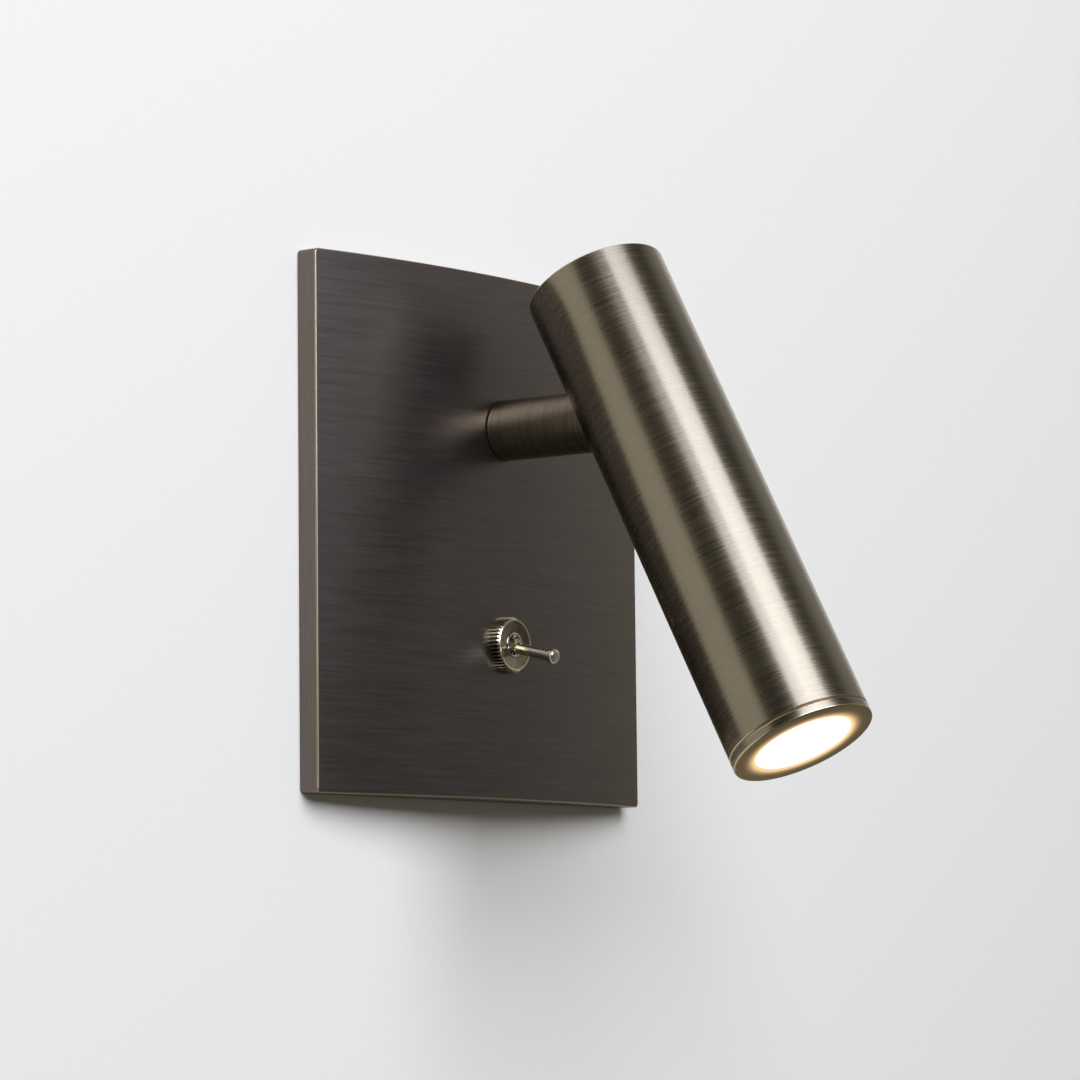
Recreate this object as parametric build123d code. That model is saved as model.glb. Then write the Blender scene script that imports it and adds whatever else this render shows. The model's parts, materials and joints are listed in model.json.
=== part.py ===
from build123d import *
from math import acos, cos, degrees, pi, radians, sin, sqrt, tan
import os

# Bedside wall reading lamp: a square bowed wall plate, a short arm that swivels in it, and a
# slim tubular head that tilts on the arm, switched by a toggle under the arm.
# Millimetres. X is right, Y goes into the wall, Z is up. The origin is the centre of the
# plate's back, on the wall. Whatever lies at positive Y sits in the recess behind the plate.

# Clearances
FIXED_FIT = 0.02        # radial, between pieces that are fastened together
RUNNING_FIT = 0.05      # radial or face to face, between pieces that turn on each other
LOOSE_FIT = 0.3         # round a piece that passes through without touching
CUT_PAST = 1.0          # how far a cut starts outside the face that it opens
SCREW_SLOT = 1 / 3      # width of a screw's slot, as a share of its head's radius

# Wall plate, bowed about a vertical axis
PLATE_SIZE = 130.0
PLATE_EDGE = 5.4        # depth at the left and right edges
PLATE_BULGE = 7.1       # how much deeper the middle is than the edges
PLATE_WALL = 2.0
PLATE_CORNER = 1.2
PLATE_CHAMFER = 0.5

# Mounting bracket inside the plate, flat on the wall
BRACKET_SHEET = 1.6
BRACKET_SIDE_GAP = 13.0
BRACKET_END_GAP = 2.8
FLANGE_SETBACK = 4.0    # from the bracket's sides to the ends of its flanges
FLANGE_DEPTH = 6.6
FIXING_SPACING = 60.3
FIXING_SLOT_WIDTH = 4.5
FIXING_SLOT_LENGTH = 10.0
HOOK_INSET = 6.0        # from the flange's end
HOOK_Y = -3.6
HOOK_RADIUS = 1.4
HOOK_REACH = 6.0
GRUB_RADIUS = 1.5
GRUB_STANDOUT = 1.0     # how far the screw reaches past the bracket's bottom flange
GRUB_POINT_RADIUS = 0.2
GRUB_Y = -5.5
GRUB_PAD = 2.5          # extra metal round the grub screw, inside the plate
GRUB_PAD_HALF_WIDTH = 4.0

# Arm and its swivel
ARM_Z = 26.5
ARM_RADIUS = 7.6
ARM_WALL = 1.0
ARM_CHAMFER = 0.35
SWIVEL_AT_REST = 2.2    # the head hangs this far from plumb, turned about the arm
SWIVEL_LIMIT = 170.0    # each way from plumb
ARM_BOSS_RADIUS = 14.0
ARM_BOSS_BACK = -7.0
SPINDLE_RADIUS = 5.0
SPINDLE_BORE = 2.4
SPINDLE_PLUG_LENGTH = 17.0
SPINDLE_TAIL = 2.0      # how far the spindle stands out behind its nut
SEAT_WASHER_RADIUS = 6.5
SEAT_WASHER_RECESS = 1.0
REAR_WASHER_RADIUS = 9.0
WASHER_THICKNESS = 1.0
STOP_WASHER_THICKNESS = 1.2
STOP_FINGER_RADIUS = 12.6
STOP_PEG_RADIUS = 1.0
STOP_PEG_CIRCLE = 11.5
STOP_PEG_LENGTH = 2.6
SPRING_WASHER_RADIUS = 8.0
SPRING_WASHER_SHEET = 0.6
SPRING_WASHER_RISE = 0.8
SWIVEL_NUT_FLATS = 14.0
SWIVEL_NUT_THICKNESS = 4.6

# Tilt joint inside the head
PIVOT_Y = -58.1
TILT_AT_REST = 28.0     # of the head, from vertical
TILT_MAX = 45.0
ARM_END_GAP = 11.0      # from the pivot to the end of the arm tube
EYE_RADIUS = 7.0
EYE_HALF_WIDTH = 4.4
KNUCKLE_SPIGOT = 10.0
KNUCKLE_LEAD_HOLE = 8.5  # from the pivot to the hole where the leads leave the knuckle
KNUCKLE_BORE = 2.3
PIVOT_RADIUS = 2.0
PIVOT_HEAD_RADIUS = 3.2
PIVOT_HEAD_THICKNESS = 1.8
PIVOT_HEAD_EDGE_GAP = 0.7   # so that the flat head's edge stays inside the round tube
FRICTION_WASHER_RADIUS = 6.0
FRICTION_WASHER_THICKNESS = 0.8
KNUCKLE_WEB_SHARE = 0.85    # of the web behind the eye, to the eye's height
SHIELD_SHEET = 0.5
SHIELD_SIDE_LAP = 0.5   # how far the shield reaches past each side of the slot
SHIELD_SIDE_GAP = 0.4   # from the shield to the yoke
SHIELD_OVERLAP = 2.0    # degrees that the shield covers past each end of the slot

# Head, with its own upright axes: the pivot is the origin and the lens faces down
HEAD_RADIUS = 17.6
HEAD_WALL = 1.5
HEAD_TOP = 38.6
HEAD_BOTTOM = -92.5
HEAD_CHAMFER = 0.4
SLOT_HALF_WIDTH = ARM_RADIUS + LOOSE_FIT
CAP_RECESS = 0.6
CAP_FLANGE = 1.2
CAP_BODY = 2.2
CAP_LEDGE = 0.85        # how far the cap's flange reaches into the tube wall
CAP_TONGUE = 2.3        # thickness of the tongue that closes the slot above the arm
YOKE_FLOOR_TOP = -14.0
YOKE_FLOOR = 4.0
YOKE_COLUMN_HALF_DEPTH = 9.5
YOKE_BOSS_RADIUS = 7.5
PILLAR_RADIUS = 2.8
CAP_SCREW_RADIUS = 1.25
CAP_SCREW_HEAD_RADIUS = 2.4
CAP_SCREW_HEAD = 1.2
CAP_SCREW_LENGTH = 11.0
SINK_BOTTOM = -64.0
SINK_BASE = 4.0
SINK_CORE_RADIUS = 6.5
SINK_FINS = 10
SINK_FIN_THICKNESS = 1.2
BOARD_EDGE_GAP = 2.6
BOARD_THICKNESS = 1.6
PAD_RADIUS = 7.5
PAD_THICKNESS = 0.3
BOARD_SCREW_INSET = 3.5     # from the board's edge
BOARD_SCREW_RADIUS = 1.0
BOARD_SCREW_HEAD_RADIUS = 1.9
BOARD_SCREW_HEAD = 1.1
BOARD_SCREW_LENGTH = 5.0
EMITTER_RADIUS = 5.0
EMITTER_THICKNESS = 0.8
PHOSPHOR_RADIUS = 3.6
PHOSPHOR_THICKNESS = 0.4
REFLECTOR_NECK_RADIUS = 5.4
REFLECTOR_WALL = 0.9
REFLECTOR_RIM = 0.8
LENS_LEDGE = 2.4        # how far the lens's flange stands out behind the bezel's lip
LENS_RIM_GAP = 0.1
LENS_STEP = 1.3
LENS_FLANGE = 1.6
GASKET_RADIAL = 1.6
GASKET_THICKNESS = 0.6
BEZEL_HEIGHT = 2.2
BEZEL_GROOVE = 0.4
BEZEL_SPIGOT = 6.0
BEZEL_SPIGOT_WALL = 1.35
HEAD_LEAD_Y = 10.0
HEAD_LEAD_HOLE = 2.3

# Toggle switch
SWITCH_Z = -27.0
SWITCH_BOSS_RADIUS = 9.0
SWITCH_BOSS_BACK = -8.8
BUSHING_RADIUS = 3.175
BUSHING_BORE = 2.0
BUSHING_MOUTH = 2.6
BUSHING_MOUTH_DEPTH = 1.7
BUSHING_SETBACK = 0.1   # from the ring nut's front to the bushing's
LOCK_WASHER_RADIUS = 5.2
LOCK_WASHER_THICKNESS = 0.5
LOCK_NUT_FLATS = 8.0
LOCK_NUT_THICKNESS = 2.1
SWITCH_WIDTH = 8.0
SWITCH_HEIGHT = 13.2
SWITCH_DEPTH = 9.6
TERMINAL_PITCH = 4.7
TERMINAL_WIDTH = 2.0
TERMINAL_SHEET = 0.8
TERMINAL_LENGTH = 4.2
RING_NUT_RADIUS = 6.9
RING_NUT_ROOT = 6.45
RING_NUT_TEETH = 44
RING_NUT_THICKNESS = 2.6
RING_NUT_BEVEL = 0.35
RING_NUT_DISH_RADIUS = 5.9
RING_NUT_DISH_DEPTH = 0.35
LEVER_PIVOT_Y = -11.8
LEVER_REACH = 15.0      # from the lever's pivot to the middle of its rounded tip
LEVER_ANGLE = 13.0      # degrees each side of the middle
LEVER_BALL_RADIUS = 1.95
LEVER_ROOT_RADIUS = 1.0
LEVER_END_RADIUS = 1.33
LEVER_TIP_RADIUS = 1.8
LEVER_TIP_THICKNESS = 2.4
LEVER_TIP_ROUNDING = 0.42   # edge radius, as a share of the tip's thickness
LEVER_TAIL_RADIUS = 0.9
LEVER_TAIL = 3.6

# Wiring behind and inside the plate
DRIVER_HALF_WIDTH = 22.0
DRIVER_HALF_HEIGHT = 13.0
DRIVER_DEPTH = 15.0
DRIVER_WALL = 1.4
DRIVER_LID = 1.4
DRIVER_BOARD = 1.2
DRIVER_BOARD_Y = 4.0
TRANSFORMER_HALF_WIDTH = 5.5
TRANSFORMER_HALF_HEIGHT = 6.0
COIL_RADIUS = 2.6
COIL_SHARE = 0.6        # heights beside the transformer's
LARGE_CAPACITOR_RADIUS = 3.2
SMALL_CAPACITOR_RADIUS = 2.8
SMALL_CAPACITOR_SHARE = 0.8
COMPONENT_SIDE_X = 10.5
COMPONENT_SIDE_Z = 5.5
DRIVER_POST_RADIUS = 2.8
DRIVER_SCREW_INSET = 3.4    # from the case's side to the screw
DRIVER_SCREW_RADIUS = 1.25
DRIVER_SCREW_HEAD_RADIUS = 2.4
DRIVER_SCREW_HEAD = 1.5
DRIVER_SCREW_LENGTH = 9.0
BLOCK_SIDE_GAP = 1.2    # to the heads of the driver's screws
BLOCK_HALF_HEIGHT = 7.0
BLOCK_DEPTH = 7.8
BLOCK_POLES = 3
BLOCK_SCREW_RADIUS = 1.7
BLOCK_WELL_DEPTH = 3.4
BLOCK_SCREW_HEIGHT = 2.0
BLOCK_ENTRY_RADIUS = 1.5
EARTH_INSET = 10.0      # from the bracket's side
EARTH_Z = 20.0
EARTH_RADIUS = 2.0
EARTH_LENGTH = 5.2
EARTH_NUT_FLATS = 7.0
EARTH_NUT_THICKNESS = 2.4
GROMMET_X = 21.0
GROMMET_Z = -27.0
GROMMET_BORE = 4.0
GROMMET_NECK = 6.0
GROMMET_FLANGE = 7.4
GROMMET_LIP = 1.2
SWIVEL_WINDOW = 11.0
SWITCH_WINDOW_GAP = 2.4
LEAD_RADIUS = 0.8
LEAD_X = 1.0
LEAD_BEND = 4.8
LEAD_Y = 12.0
LEAD_OVERLAP = 1.0      # how far the plate's leads reach into the spindle
LINK_Z = 11.0
LINK_BEND = 1.7
SWITCH_LEAD_BEND = 1.6
SWITCH_LEAD_FIRST = 2.9     # from the terminals' ends to the nearer lead's rise
SWITCH_LEAD_STEP = 2.4

# Places that several pieces share
FRONT = -(PLATE_EDGE + PLATE_BULGE)
CAVITY_HALF = PLATE_SIZE / 2 - PLATE_WALL
BRACKET_HALF_WIDTH = CAVITY_HALF - BRACKET_SIDE_GAP
BRACKET_HALF_HEIGHT = CAVITY_HALF - BRACKET_END_GAP
FLANGE_HALF_WIDTH = BRACKET_HALF_WIDTH - FLANGE_SETBACK
HOOK_X = FLANGE_HALF_WIDTH - HOOK_INSET
EARTH_X = EARTH_INSET - BRACKET_HALF_WIDTH
GRUB_END = BRACKET_SHEET + GRUB_STANDOUT - BRACKET_HALF_HEIGHT
SEAT_FLOOR = FRONT + SEAT_WASHER_RECESS
ARM_BASE = FRONT - LOOSE_FIT
REAR_WASHER_BACK = ARM_BOSS_BACK + WASHER_THICKNESS
STOP_WASHER_FRONT = REAR_WASHER_BACK + RUNNING_FIT
STOP_WASHER_BACK = STOP_WASHER_FRONT + STOP_WASHER_THICKNESS
SWIVEL_NUT_FRONT = STOP_WASHER_BACK + SPRING_WASHER_RISE + SPRING_WASHER_SHEET
SWIVEL_NUT_BACK = SWIVEL_NUT_FRONT + SWIVEL_NUT_THICKNESS
SPINDLE_BACK = SWIVEL_NUT_BACK + SPINDLE_TAIL
STOP_GAP = STOP_PEG_CIRCLE * sin(radians(180 - SWIVEL_LIMIT))
STOP_FINGER_HALF_WIDTH = STOP_GAP - STOP_PEG_RADIUS - RUNNING_FIT
ARM_BORE = ARM_RADIUS - ARM_WALL
ARM_END = PIVOT_Y + ARM_END_GAP
HEAD_BORE = HEAD_RADIUS - HEAD_WALL
HEAD_FIT = HEAD_BORE - RUNNING_FIT
CAP_TOP = HEAD_TOP - CAP_RECESS
CAP_BOTTOM = CAP_TOP - CAP_FLANGE - CAP_BODY
SHIELD_HALF_WIDTH = SLOT_HALF_WIDTH + SHIELD_SIDE_LAP
SHIELD_RADIUS = sqrt((HEAD_BORE - LOOSE_FIT) ** 2 - SHIELD_HALF_WIDTH ** 2)
YOKE_COLUMN_X = SHIELD_HALF_WIDTH + SHIELD_SIDE_GAP
PILLAR_X = YOKE_COLUMN_X + PILLAR_RADIUS
YOKE_BOTTOM = YOKE_FLOOR_TOP - YOKE_FLOOR
PIVOT_HEAD_START = HEAD_FIT - PIVOT_HEAD_EDGE_GAP - PIVOT_HEAD_THICKNESS
YOKE_GAP = EYE_HALF_WIDTH + FRICTION_WASHER_THICKNESS + 2 * RUNNING_FIT
TONGUE_BOTTOM = HEAD_RADIUS * tan(radians(TILT_MAX)) + SLOT_HALF_WIDTH / cos(radians(TILT_MAX)) + LOOSE_FIT
BOARD_RADIUS = HEAD_BORE - BOARD_EDGE_GAP
BOARD_SCREW_X = BOARD_RADIUS - BOARD_SCREW_INSET
BOARD_FRONT = SINK_BOTTOM - BOARD_THICKNESS
BEZEL_TOP = HEAD_BOTTOM + BEZEL_HEIGHT
TUBE_BOTTOM = BEZEL_TOP + BEZEL_GROOVE
LIP_TOP = HEAD_BOTTOM + LENS_STEP
LENS_TOP = LIP_TOP + LENS_FLANGE
GASKET_TOP = LENS_TOP + GASKET_THICKNESS
SPIGOT_BORE = HEAD_FIT - BEZEL_SPIGOT_WALL
LENS_FLANGE_RADIUS = SPIGOT_BORE - LENS_RIM_GAP
LENS_RADIUS = LENS_FLANGE_RADIUS - LENS_LEDGE
RING_NUT_FRONT = FRONT - RING_NUT_THICKNESS
BUSHING_FRONT = RING_NUT_FRONT + BUSHING_SETBACK
LOCK_NUT_FRONT = SWITCH_BOSS_BACK + LOCK_WASHER_THICKNESS
SWITCH_FRONT = LOCK_NUT_FRONT + LOCK_NUT_THICKNESS
SWITCH_BACK = SWITCH_FRONT + SWITCH_DEPTH
TERMINAL_END = SWITCH_BACK + TERMINAL_LENGTH
BLOCK_FRONT = -BRACKET_SHEET - BLOCK_DEPTH
DRIVER_RIM = DRIVER_DEPTH - DRIVER_LID
DRIVER_SCREW_X = DRIVER_HALF_WIDTH - DRIVER_SCREW_INSET
BLOCK_HALF_WIDTH = DRIVER_SCREW_X - DRIVER_SCREW_HEAD_RADIUS - BLOCK_SIDE_GAP
BLOCK_PITCH = 2 * BLOCK_HALF_WIDTH / BLOCK_POLES
LINK_X = BLOCK_PITCH / 2

# The arm's swivelled axes and the head's tilted ones
ARM_PLACE = Pos(0, 0, ARM_Z) * Rot(0, SWIVEL_AT_REST, 0)
HEAD_PLACE = ARM_PLACE * Pos(0, PIVOT_Y, 0) * Rot(-TILT_AT_REST, 0, 0)


def block(x, y, z):
    """A box between two limits along each axis."""
    size = [abs(limits[1] - limits[0]) for limits in (x, y, z)]
    middle = [(limits[0] + limits[1]) / 2 for limits in (x, y, z)]
    return Pos(*middle) * Box(*size)


def bar_y(radius, start, end, x=0.0, z=0.0):
    """A round bar along Y."""
    return Pos(x, (start + end) / 2, z) * Rot(90, 0, 0) * Cylinder(radius, abs(end - start))


def bar_x(radius, start, end, y=0.0, z=0.0):
    """A round bar along X."""
    return Pos((start + end) / 2, y, z) * Rot(0, 90, 0) * Cylinder(radius, abs(end - start))


def bar_z(radius, start, end, x=0.0, y=0.0):
    """A round bar along Z."""
    return Pos(x, y, (start + end) / 2) * Cylinder(radius, abs(end - start))


def ring_y(outer, inner, start, end, x=0.0, z=0.0):
    """A round tube along Y, with its bore cut right through."""
    return bar_y(outer, start, end, x, z) - bar_y(inner, start, end, x, z)


def ring_z(outer, inner, start, end):
    """A round tube along Z."""
    return bar_z(outer, start, end) - bar_z(inner, start, end)


def turned_y(*outline):
    """A piece turned about Y, from its (radius, y) outline."""
    return revolve(make_face(Polyline(*outline, close=True)), Axis.Y)


def turned_z(*outline):
    """A piece turned about Z, from its (radius, z) outline."""
    return revolve(make_face(Plane.XZ * Polyline(*outline, close=True)), Axis.Z)


def hexagon_y(flats, start, end, z=0.0, x=0.0):
    """A hexagon along Y, flats wide across its flats."""
    face = Plane.XZ * RegularPolygon(flats / 2, 6, major_radius=False)
    return Pos(x, start, z) * extrude(face, abs(end - start), dir=(0, 1, 0))


def lead(points, bends):
    """One insulated lead along a route with rounded corners."""
    path = FilletPolyline(*points, radius=bends)
    section = Plane(origin=path @ 0, z_dir=path % 0) * Circle(LEAD_RADIUS)
    return sweep(section, path=path)


def mirrored_pair(make):
    """The same piece at both sides of X = 0."""
    return make(-1) + make(1)


# Wall plate and bracket

def bowed_block(half, edge, bulge, back):
    """A square block whose front is bowed about a vertical axis."""
    front = ThreePointArc((-half, -edge), (0, -edge - bulge), (half, -edge))
    sides = Polyline((half, -edge), (half, back), (-half, back), (-half, -edge))
    return Pos(0, 0, -half) * extrude(make_face(front + sides), 2 * half)


def cover_plate():
    """The shell that shows, with bosses for the swivel and the switch."""
    outer = bowed_block(PLATE_SIZE / 2, PLATE_EDGE, PLATE_BULGE, 0)
    outer = fillet(outer.edges().filter_by(Axis.Y), PLATE_CORNER)
    outer = chamfer(outer.faces().sort_by(Axis.Y)[0].edges(), PLATE_CHAMFER)
    shell = outer - bowed_block(CAVITY_HALF, PLATE_EDGE - PLATE_WALL, PLATE_BULGE, PLATE_WALL)
    overlap = PLATE_WALL / 2
    shell += bar_y(ARM_BOSS_RADIUS, FRONT + overlap, ARM_BOSS_BACK, z=ARM_Z)
    shell += bar_y(STOP_PEG_RADIUS, ARM_BOSS_BACK - overlap, ARM_BOSS_BACK + STOP_PEG_LENGTH,
                   z=ARM_Z + STOP_PEG_CIRCLE)
    shell += bar_y(SWITCH_BOSS_RADIUS, FRONT + overlap, SWITCH_BOSS_BACK, z=SWITCH_Z)
    shell -= bar_y(SEAT_WASHER_RADIUS + RUNNING_FIT, SEAT_FLOOR, FRONT - CUT_PAST, z=ARM_Z)
    shell -= bar_y(SPINDLE_RADIUS + RUNNING_FIT, ARM_BOSS_BACK, FRONT, z=ARM_Z)
    shell -= bar_y(BUSHING_RADIUS + FIXED_FIT, SWITCH_BOSS_BACK, FRONT - CUT_PAST, z=SWITCH_Z)
    for side in (-1, 1):
        shell += bar_z(HOOK_RADIUS, CAVITY_HALF + overlap, CAVITY_HALF - HOOK_REACH,
                       side * HOOK_X, HOOK_Y)
    pad_width = (-GRUB_PAD_HALF_WIDTH, GRUB_PAD_HALF_WIDTH)
    pad_depth = (GRUB_Y - GRUB_PAD_HALF_WIDTH, GRUB_Y + GRUB_PAD_HALF_WIDTH)
    shell += block(pad_width, pad_depth, (-CAVITY_HALF - overlap, -CAVITY_HALF + GRUB_PAD))
    shell -= bar_z(GRUB_RADIUS + FIXED_FIT, -PLATE_SIZE / 2, -CAVITY_HALF + GRUB_PAD, 0, GRUB_Y)
    return shell


def mounting_bracket():
    """Folded sheet that is screwed to the wall; the cover hooks over its top flange."""
    half_width = (-BRACKET_HALF_WIDTH, BRACKET_HALF_WIDTH)
    flange_width = (-FLANGE_HALF_WIDTH, FLANGE_HALF_WIDTH)
    top = (BRACKET_HALF_HEIGHT - BRACKET_SHEET, BRACKET_HALF_HEIGHT)
    bottom = (-BRACKET_HALF_HEIGHT, BRACKET_SHEET - BRACKET_HALF_HEIGHT)
    sheet = block(half_width, (-BRACKET_SHEET, 0), (-BRACKET_HALF_HEIGHT, BRACKET_HALF_HEIGHT))
    sheet += block(flange_width, (-FLANGE_DEPTH, 0), top)
    sheet += block(flange_width, (-FLANGE_DEPTH, 0), bottom)
    for side in (-1, 1):
        slot = Plane.XZ * SlotOverall(FIXING_SLOT_LENGTH, FIXING_SLOT_WIDTH)
        sheet -= Pos(side * FIXING_SPACING / 2, 0, 0) * extrude(slot, 2 * BRACKET_SHEET, both=True)
        sheet -= bar_z(HOOK_RADIUS + LOOSE_FIT, *top, side * HOOK_X, HOOK_Y)
        sheet -= bar_y(LEAD_RADIUS + LOOSE_FIT, -BRACKET_SHEET, 0, side * LINK_X, LINK_Z)
        sheet -= bar_y(DRIVER_SCREW_RADIUS + FIXED_FIT, -BRACKET_SHEET, 0, side * DRIVER_SCREW_X)
    sheet -= bar_z(GRUB_RADIUS + LOOSE_FIT, *bottom, 0, GRUB_Y)
    sheet -= bar_y(SWIVEL_WINDOW, -BRACKET_SHEET, 0, z=ARM_Z)
    window_width = SWITCH_WIDTH / 2 + SWITCH_WINDOW_GAP
    window_height = SWITCH_HEIGHT / 2 + SWITCH_WINDOW_GAP
    sheet -= block((-window_width, window_width), (-BRACKET_SHEET, 0),
                   (SWITCH_Z - window_height, SWITCH_Z + window_height))
    sheet -= bar_y(EARTH_RADIUS + FIXED_FIT, -BRACKET_SHEET, 0, EARTH_X, EARTH_Z)
    sheet -= bar_y(GROMMET_NECK, -BRACKET_SHEET, 0, GROMMET_X, GROMMET_Z)
    return sheet


def cover_grub_screw():
    """Locks the cover to the bracket's bottom flange, with its socket flush under the plate."""
    screw = turned_z((0, -PLATE_SIZE / 2), (GRUB_RADIUS, -PLATE_SIZE / 2),
                     (GRUB_RADIUS, GRUB_END - GRUB_RADIUS), (GRUB_POINT_RADIUS, GRUB_END), (0, GRUB_END))
    socket = RegularPolygon(GRUB_RADIUS / 2, 6)
    screw -= Pos(0, 0, -PLATE_SIZE / 2) * extrude(socket, GRUB_RADIUS)
    return Pos(0, GRUB_Y, 0) * screw


def cable_grommet():
    """Rubber ring that the house cable comes through."""
    outline = ((GROMMET_BORE, -BRACKET_SHEET - GROMMET_LIP), (GROMMET_FLANGE, -BRACKET_SHEET - GROMMET_LIP),
               (GROMMET_FLANGE, -BRACKET_SHEET), (GROMMET_NECK, -BRACKET_SHEET), (GROMMET_NECK, 0),
               (GROMMET_FLANGE, 0), (GROMMET_FLANGE, GROMMET_LIP), (GROMMET_BORE, GROMMET_LIP))
    return Pos(GROMMET_X, 0, GROMMET_Z) * turned_y(*outline)


# Wiring pieces on the bracket

def terminal_poles():
    """The X of each pole of the terminal block."""
    return [(pole - (BLOCK_POLES - 1) / 2) * BLOCK_PITCH for pole in range(BLOCK_POLES)]


def terminal_block():
    """Three-pole block, with a screw well and a cable entry at each pole."""
    body = block((-BLOCK_HALF_WIDTH, BLOCK_HALF_WIDTH), (BLOCK_FRONT, -BRACKET_SHEET),
                 (-BLOCK_HALF_HEIGHT, BLOCK_HALF_HEIGHT))
    entry_y = -BRACKET_SHEET - BLOCK_ENTRY_RADIUS - LOOSE_FIT
    for x in terminal_poles():
        body -= bar_y(BLOCK_SCREW_RADIUS + FIXED_FIT, BLOCK_FRONT, BLOCK_FRONT + BLOCK_WELL_DEPTH, x)
        body -= bar_z(BLOCK_ENTRY_RADIUS, -BLOCK_HALF_HEIGHT, -BLOCK_SCREW_RADIUS, x, entry_y)
    return body


def slotted_head_y(radius, front, back, x, z):
    """A screw head along Y with a straight slot across its front."""
    slot_half = radius * SCREW_SLOT / 2
    slot_depth = abs(back - front) / 3
    head = bar_y(radius, front, back, x, z)
    slot = block((x - radius, x + radius), (front, front + slot_depth), (z - slot_half, z + slot_half))
    return head - slot


def terminal_screws():
    """The clamping screws, at the bottom of their wells."""
    bottom = BLOCK_FRONT + BLOCK_WELL_DEPTH
    screws = Part()
    for x in terminal_poles():
        screws += slotted_head_y(BLOCK_SCREW_RADIUS, bottom - BLOCK_SCREW_HEIGHT, bottom, x, 0)
    return screws


def earth_stud():
    """Earthing stud, riveted into the bracket."""
    return bar_y(EARTH_RADIUS, -BRACKET_SHEET - EARTH_LENGTH, 0, EARTH_X, EARTH_Z)


def earth_nut():
    """Nut on the earthing stud."""
    back = -BRACKET_SHEET
    front = back - EARTH_NUT_THICKNESS
    nut = hexagon_y(EARTH_NUT_FLATS, front, back, EARTH_Z, EARTH_X)
    return nut - bar_y(EARTH_RADIUS + FIXED_FIT, front, back, EARTH_X, EARTH_Z)


def driver_case():
    """Box for the driver, open at the back, with two screw posts."""
    body = block((-DRIVER_HALF_WIDTH, DRIVER_HALF_WIDTH), (0, DRIVER_RIM),
                 (-DRIVER_HALF_HEIGHT, DRIVER_HALF_HEIGHT))
    half_width = DRIVER_HALF_WIDTH - DRIVER_WALL
    half_height = DRIVER_HALF_HEIGHT - DRIVER_WALL
    body -= block((-half_width, half_width), (DRIVER_WALL, DRIVER_RIM), (-half_height, half_height))
    post_end = DRIVER_SCREW_LENGTH - BRACKET_SHEET + DRIVER_WALL
    for side in (-1, 1):
        body += bar_y(DRIVER_POST_RADIUS, 0, post_end, side * DRIVER_SCREW_X)
        body -= bar_y(DRIVER_SCREW_RADIUS + FIXED_FIT, 0, DRIVER_SCREW_LENGTH - BRACKET_SHEET,
                      side * DRIVER_SCREW_X)
    return body


def driver_lid():
    """Back of the driver's box."""
    return block((-DRIVER_HALF_WIDTH, DRIVER_HALF_WIDTH), (DRIVER_RIM, DRIVER_DEPTH),
                 (-DRIVER_HALF_HEIGHT, DRIVER_HALF_HEIGHT))


def driver_board():
    """Circuit board, held between the screw posts and the case's long walls."""
    half_width = DRIVER_SCREW_X - DRIVER_POST_RADIUS - LOOSE_FIT
    half_height = DRIVER_HALF_HEIGHT - DRIVER_WALL - FIXED_FIT
    return block((-half_width, half_width), (DRIVER_BOARD_Y, DRIVER_BOARD_Y + DRIVER_BOARD),
                 (-half_height, half_height))


def driver_components():
    """Transformer, two capacitors and the coil, standing on the driver's board."""
    seat = DRIVER_BOARD_Y + DRIVER_BOARD
    tall = DRIVER_RIM - seat - LOOSE_FIT
    x = COMPONENT_SIDE_X
    z = COMPONENT_SIDE_Z
    group = block((-TRANSFORMER_HALF_WIDTH, TRANSFORMER_HALF_WIDTH), (seat, seat + tall),
                  (-TRANSFORMER_HALF_HEIGHT, TRANSFORMER_HALF_HEIGHT))
    group += bar_y(COIL_RADIUS, seat, seat + tall * COIL_SHARE, x, z)
    group += bar_y(LARGE_CAPACITOR_RADIUS, seat, seat + tall, -x, z)
    group += bar_y(SMALL_CAPACITOR_RADIUS, seat, seat + tall * SMALL_CAPACITOR_SHARE, x, -z)
    return group


def driver_screws():
    """The two screws that hold the driver to the bracket."""
    def screw(side):
        x = side * DRIVER_SCREW_X
        head_front = -BRACKET_SHEET - DRIVER_SCREW_HEAD
        shank_end = DRIVER_SCREW_LENGTH - BRACKET_SHEET - LOOSE_FIT
        head = slotted_head_y(DRIVER_SCREW_HEAD_RADIUS, head_front, -BRACKET_SHEET, x, 0)
        return head + bar_y(DRIVER_SCREW_RADIUS, -BRACKET_SHEET, shank_end, x)
    return mirrored_pair(screw)


def link_leads():
    """Two leads from the terminal block, back through the bracket, to the driver."""
    lead_y = BLOCK_FRONT + BLOCK_DEPTH / 2
    def run(side):
        x = side * LINK_X
        return lead([(x, lead_y, BLOCK_HALF_HEIGHT), (x, lead_y, LINK_Z), (x, 0, LINK_Z)], LINK_BEND)
    return mirrored_pair(run)


def switch_leads():
    """Two leads from the switch's outer terminals up to the driver."""
    leads = Part()
    for order, side in enumerate((1, -1)):
        z = SWITCH_Z + side * TERMINAL_PITCH
        y = TERMINAL_END + SWITCH_LEAD_FIRST + SWITCH_LEAD_STEP * order
        route = [(0, TERMINAL_END, z), (0, y, z), (0, y, -DRIVER_HALF_HEIGHT)]
        leads += lead(route, SWITCH_LEAD_BEND)
    return leads


def plate_leads():
    """Two leads from the driver into the back of the hollow spindle."""
    def run(side):
        x = side * LEAD_X
        end = SPINDLE_BACK - LEAD_OVERLAP
        return lead([(x, LEAD_Y, DRIVER_HALF_HEIGHT), (x, LEAD_Y, ARM_Z), (x, end, ARM_Z)], LEAD_BEND)
    return mirrored_pair(run)


# Toggle switch

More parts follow.
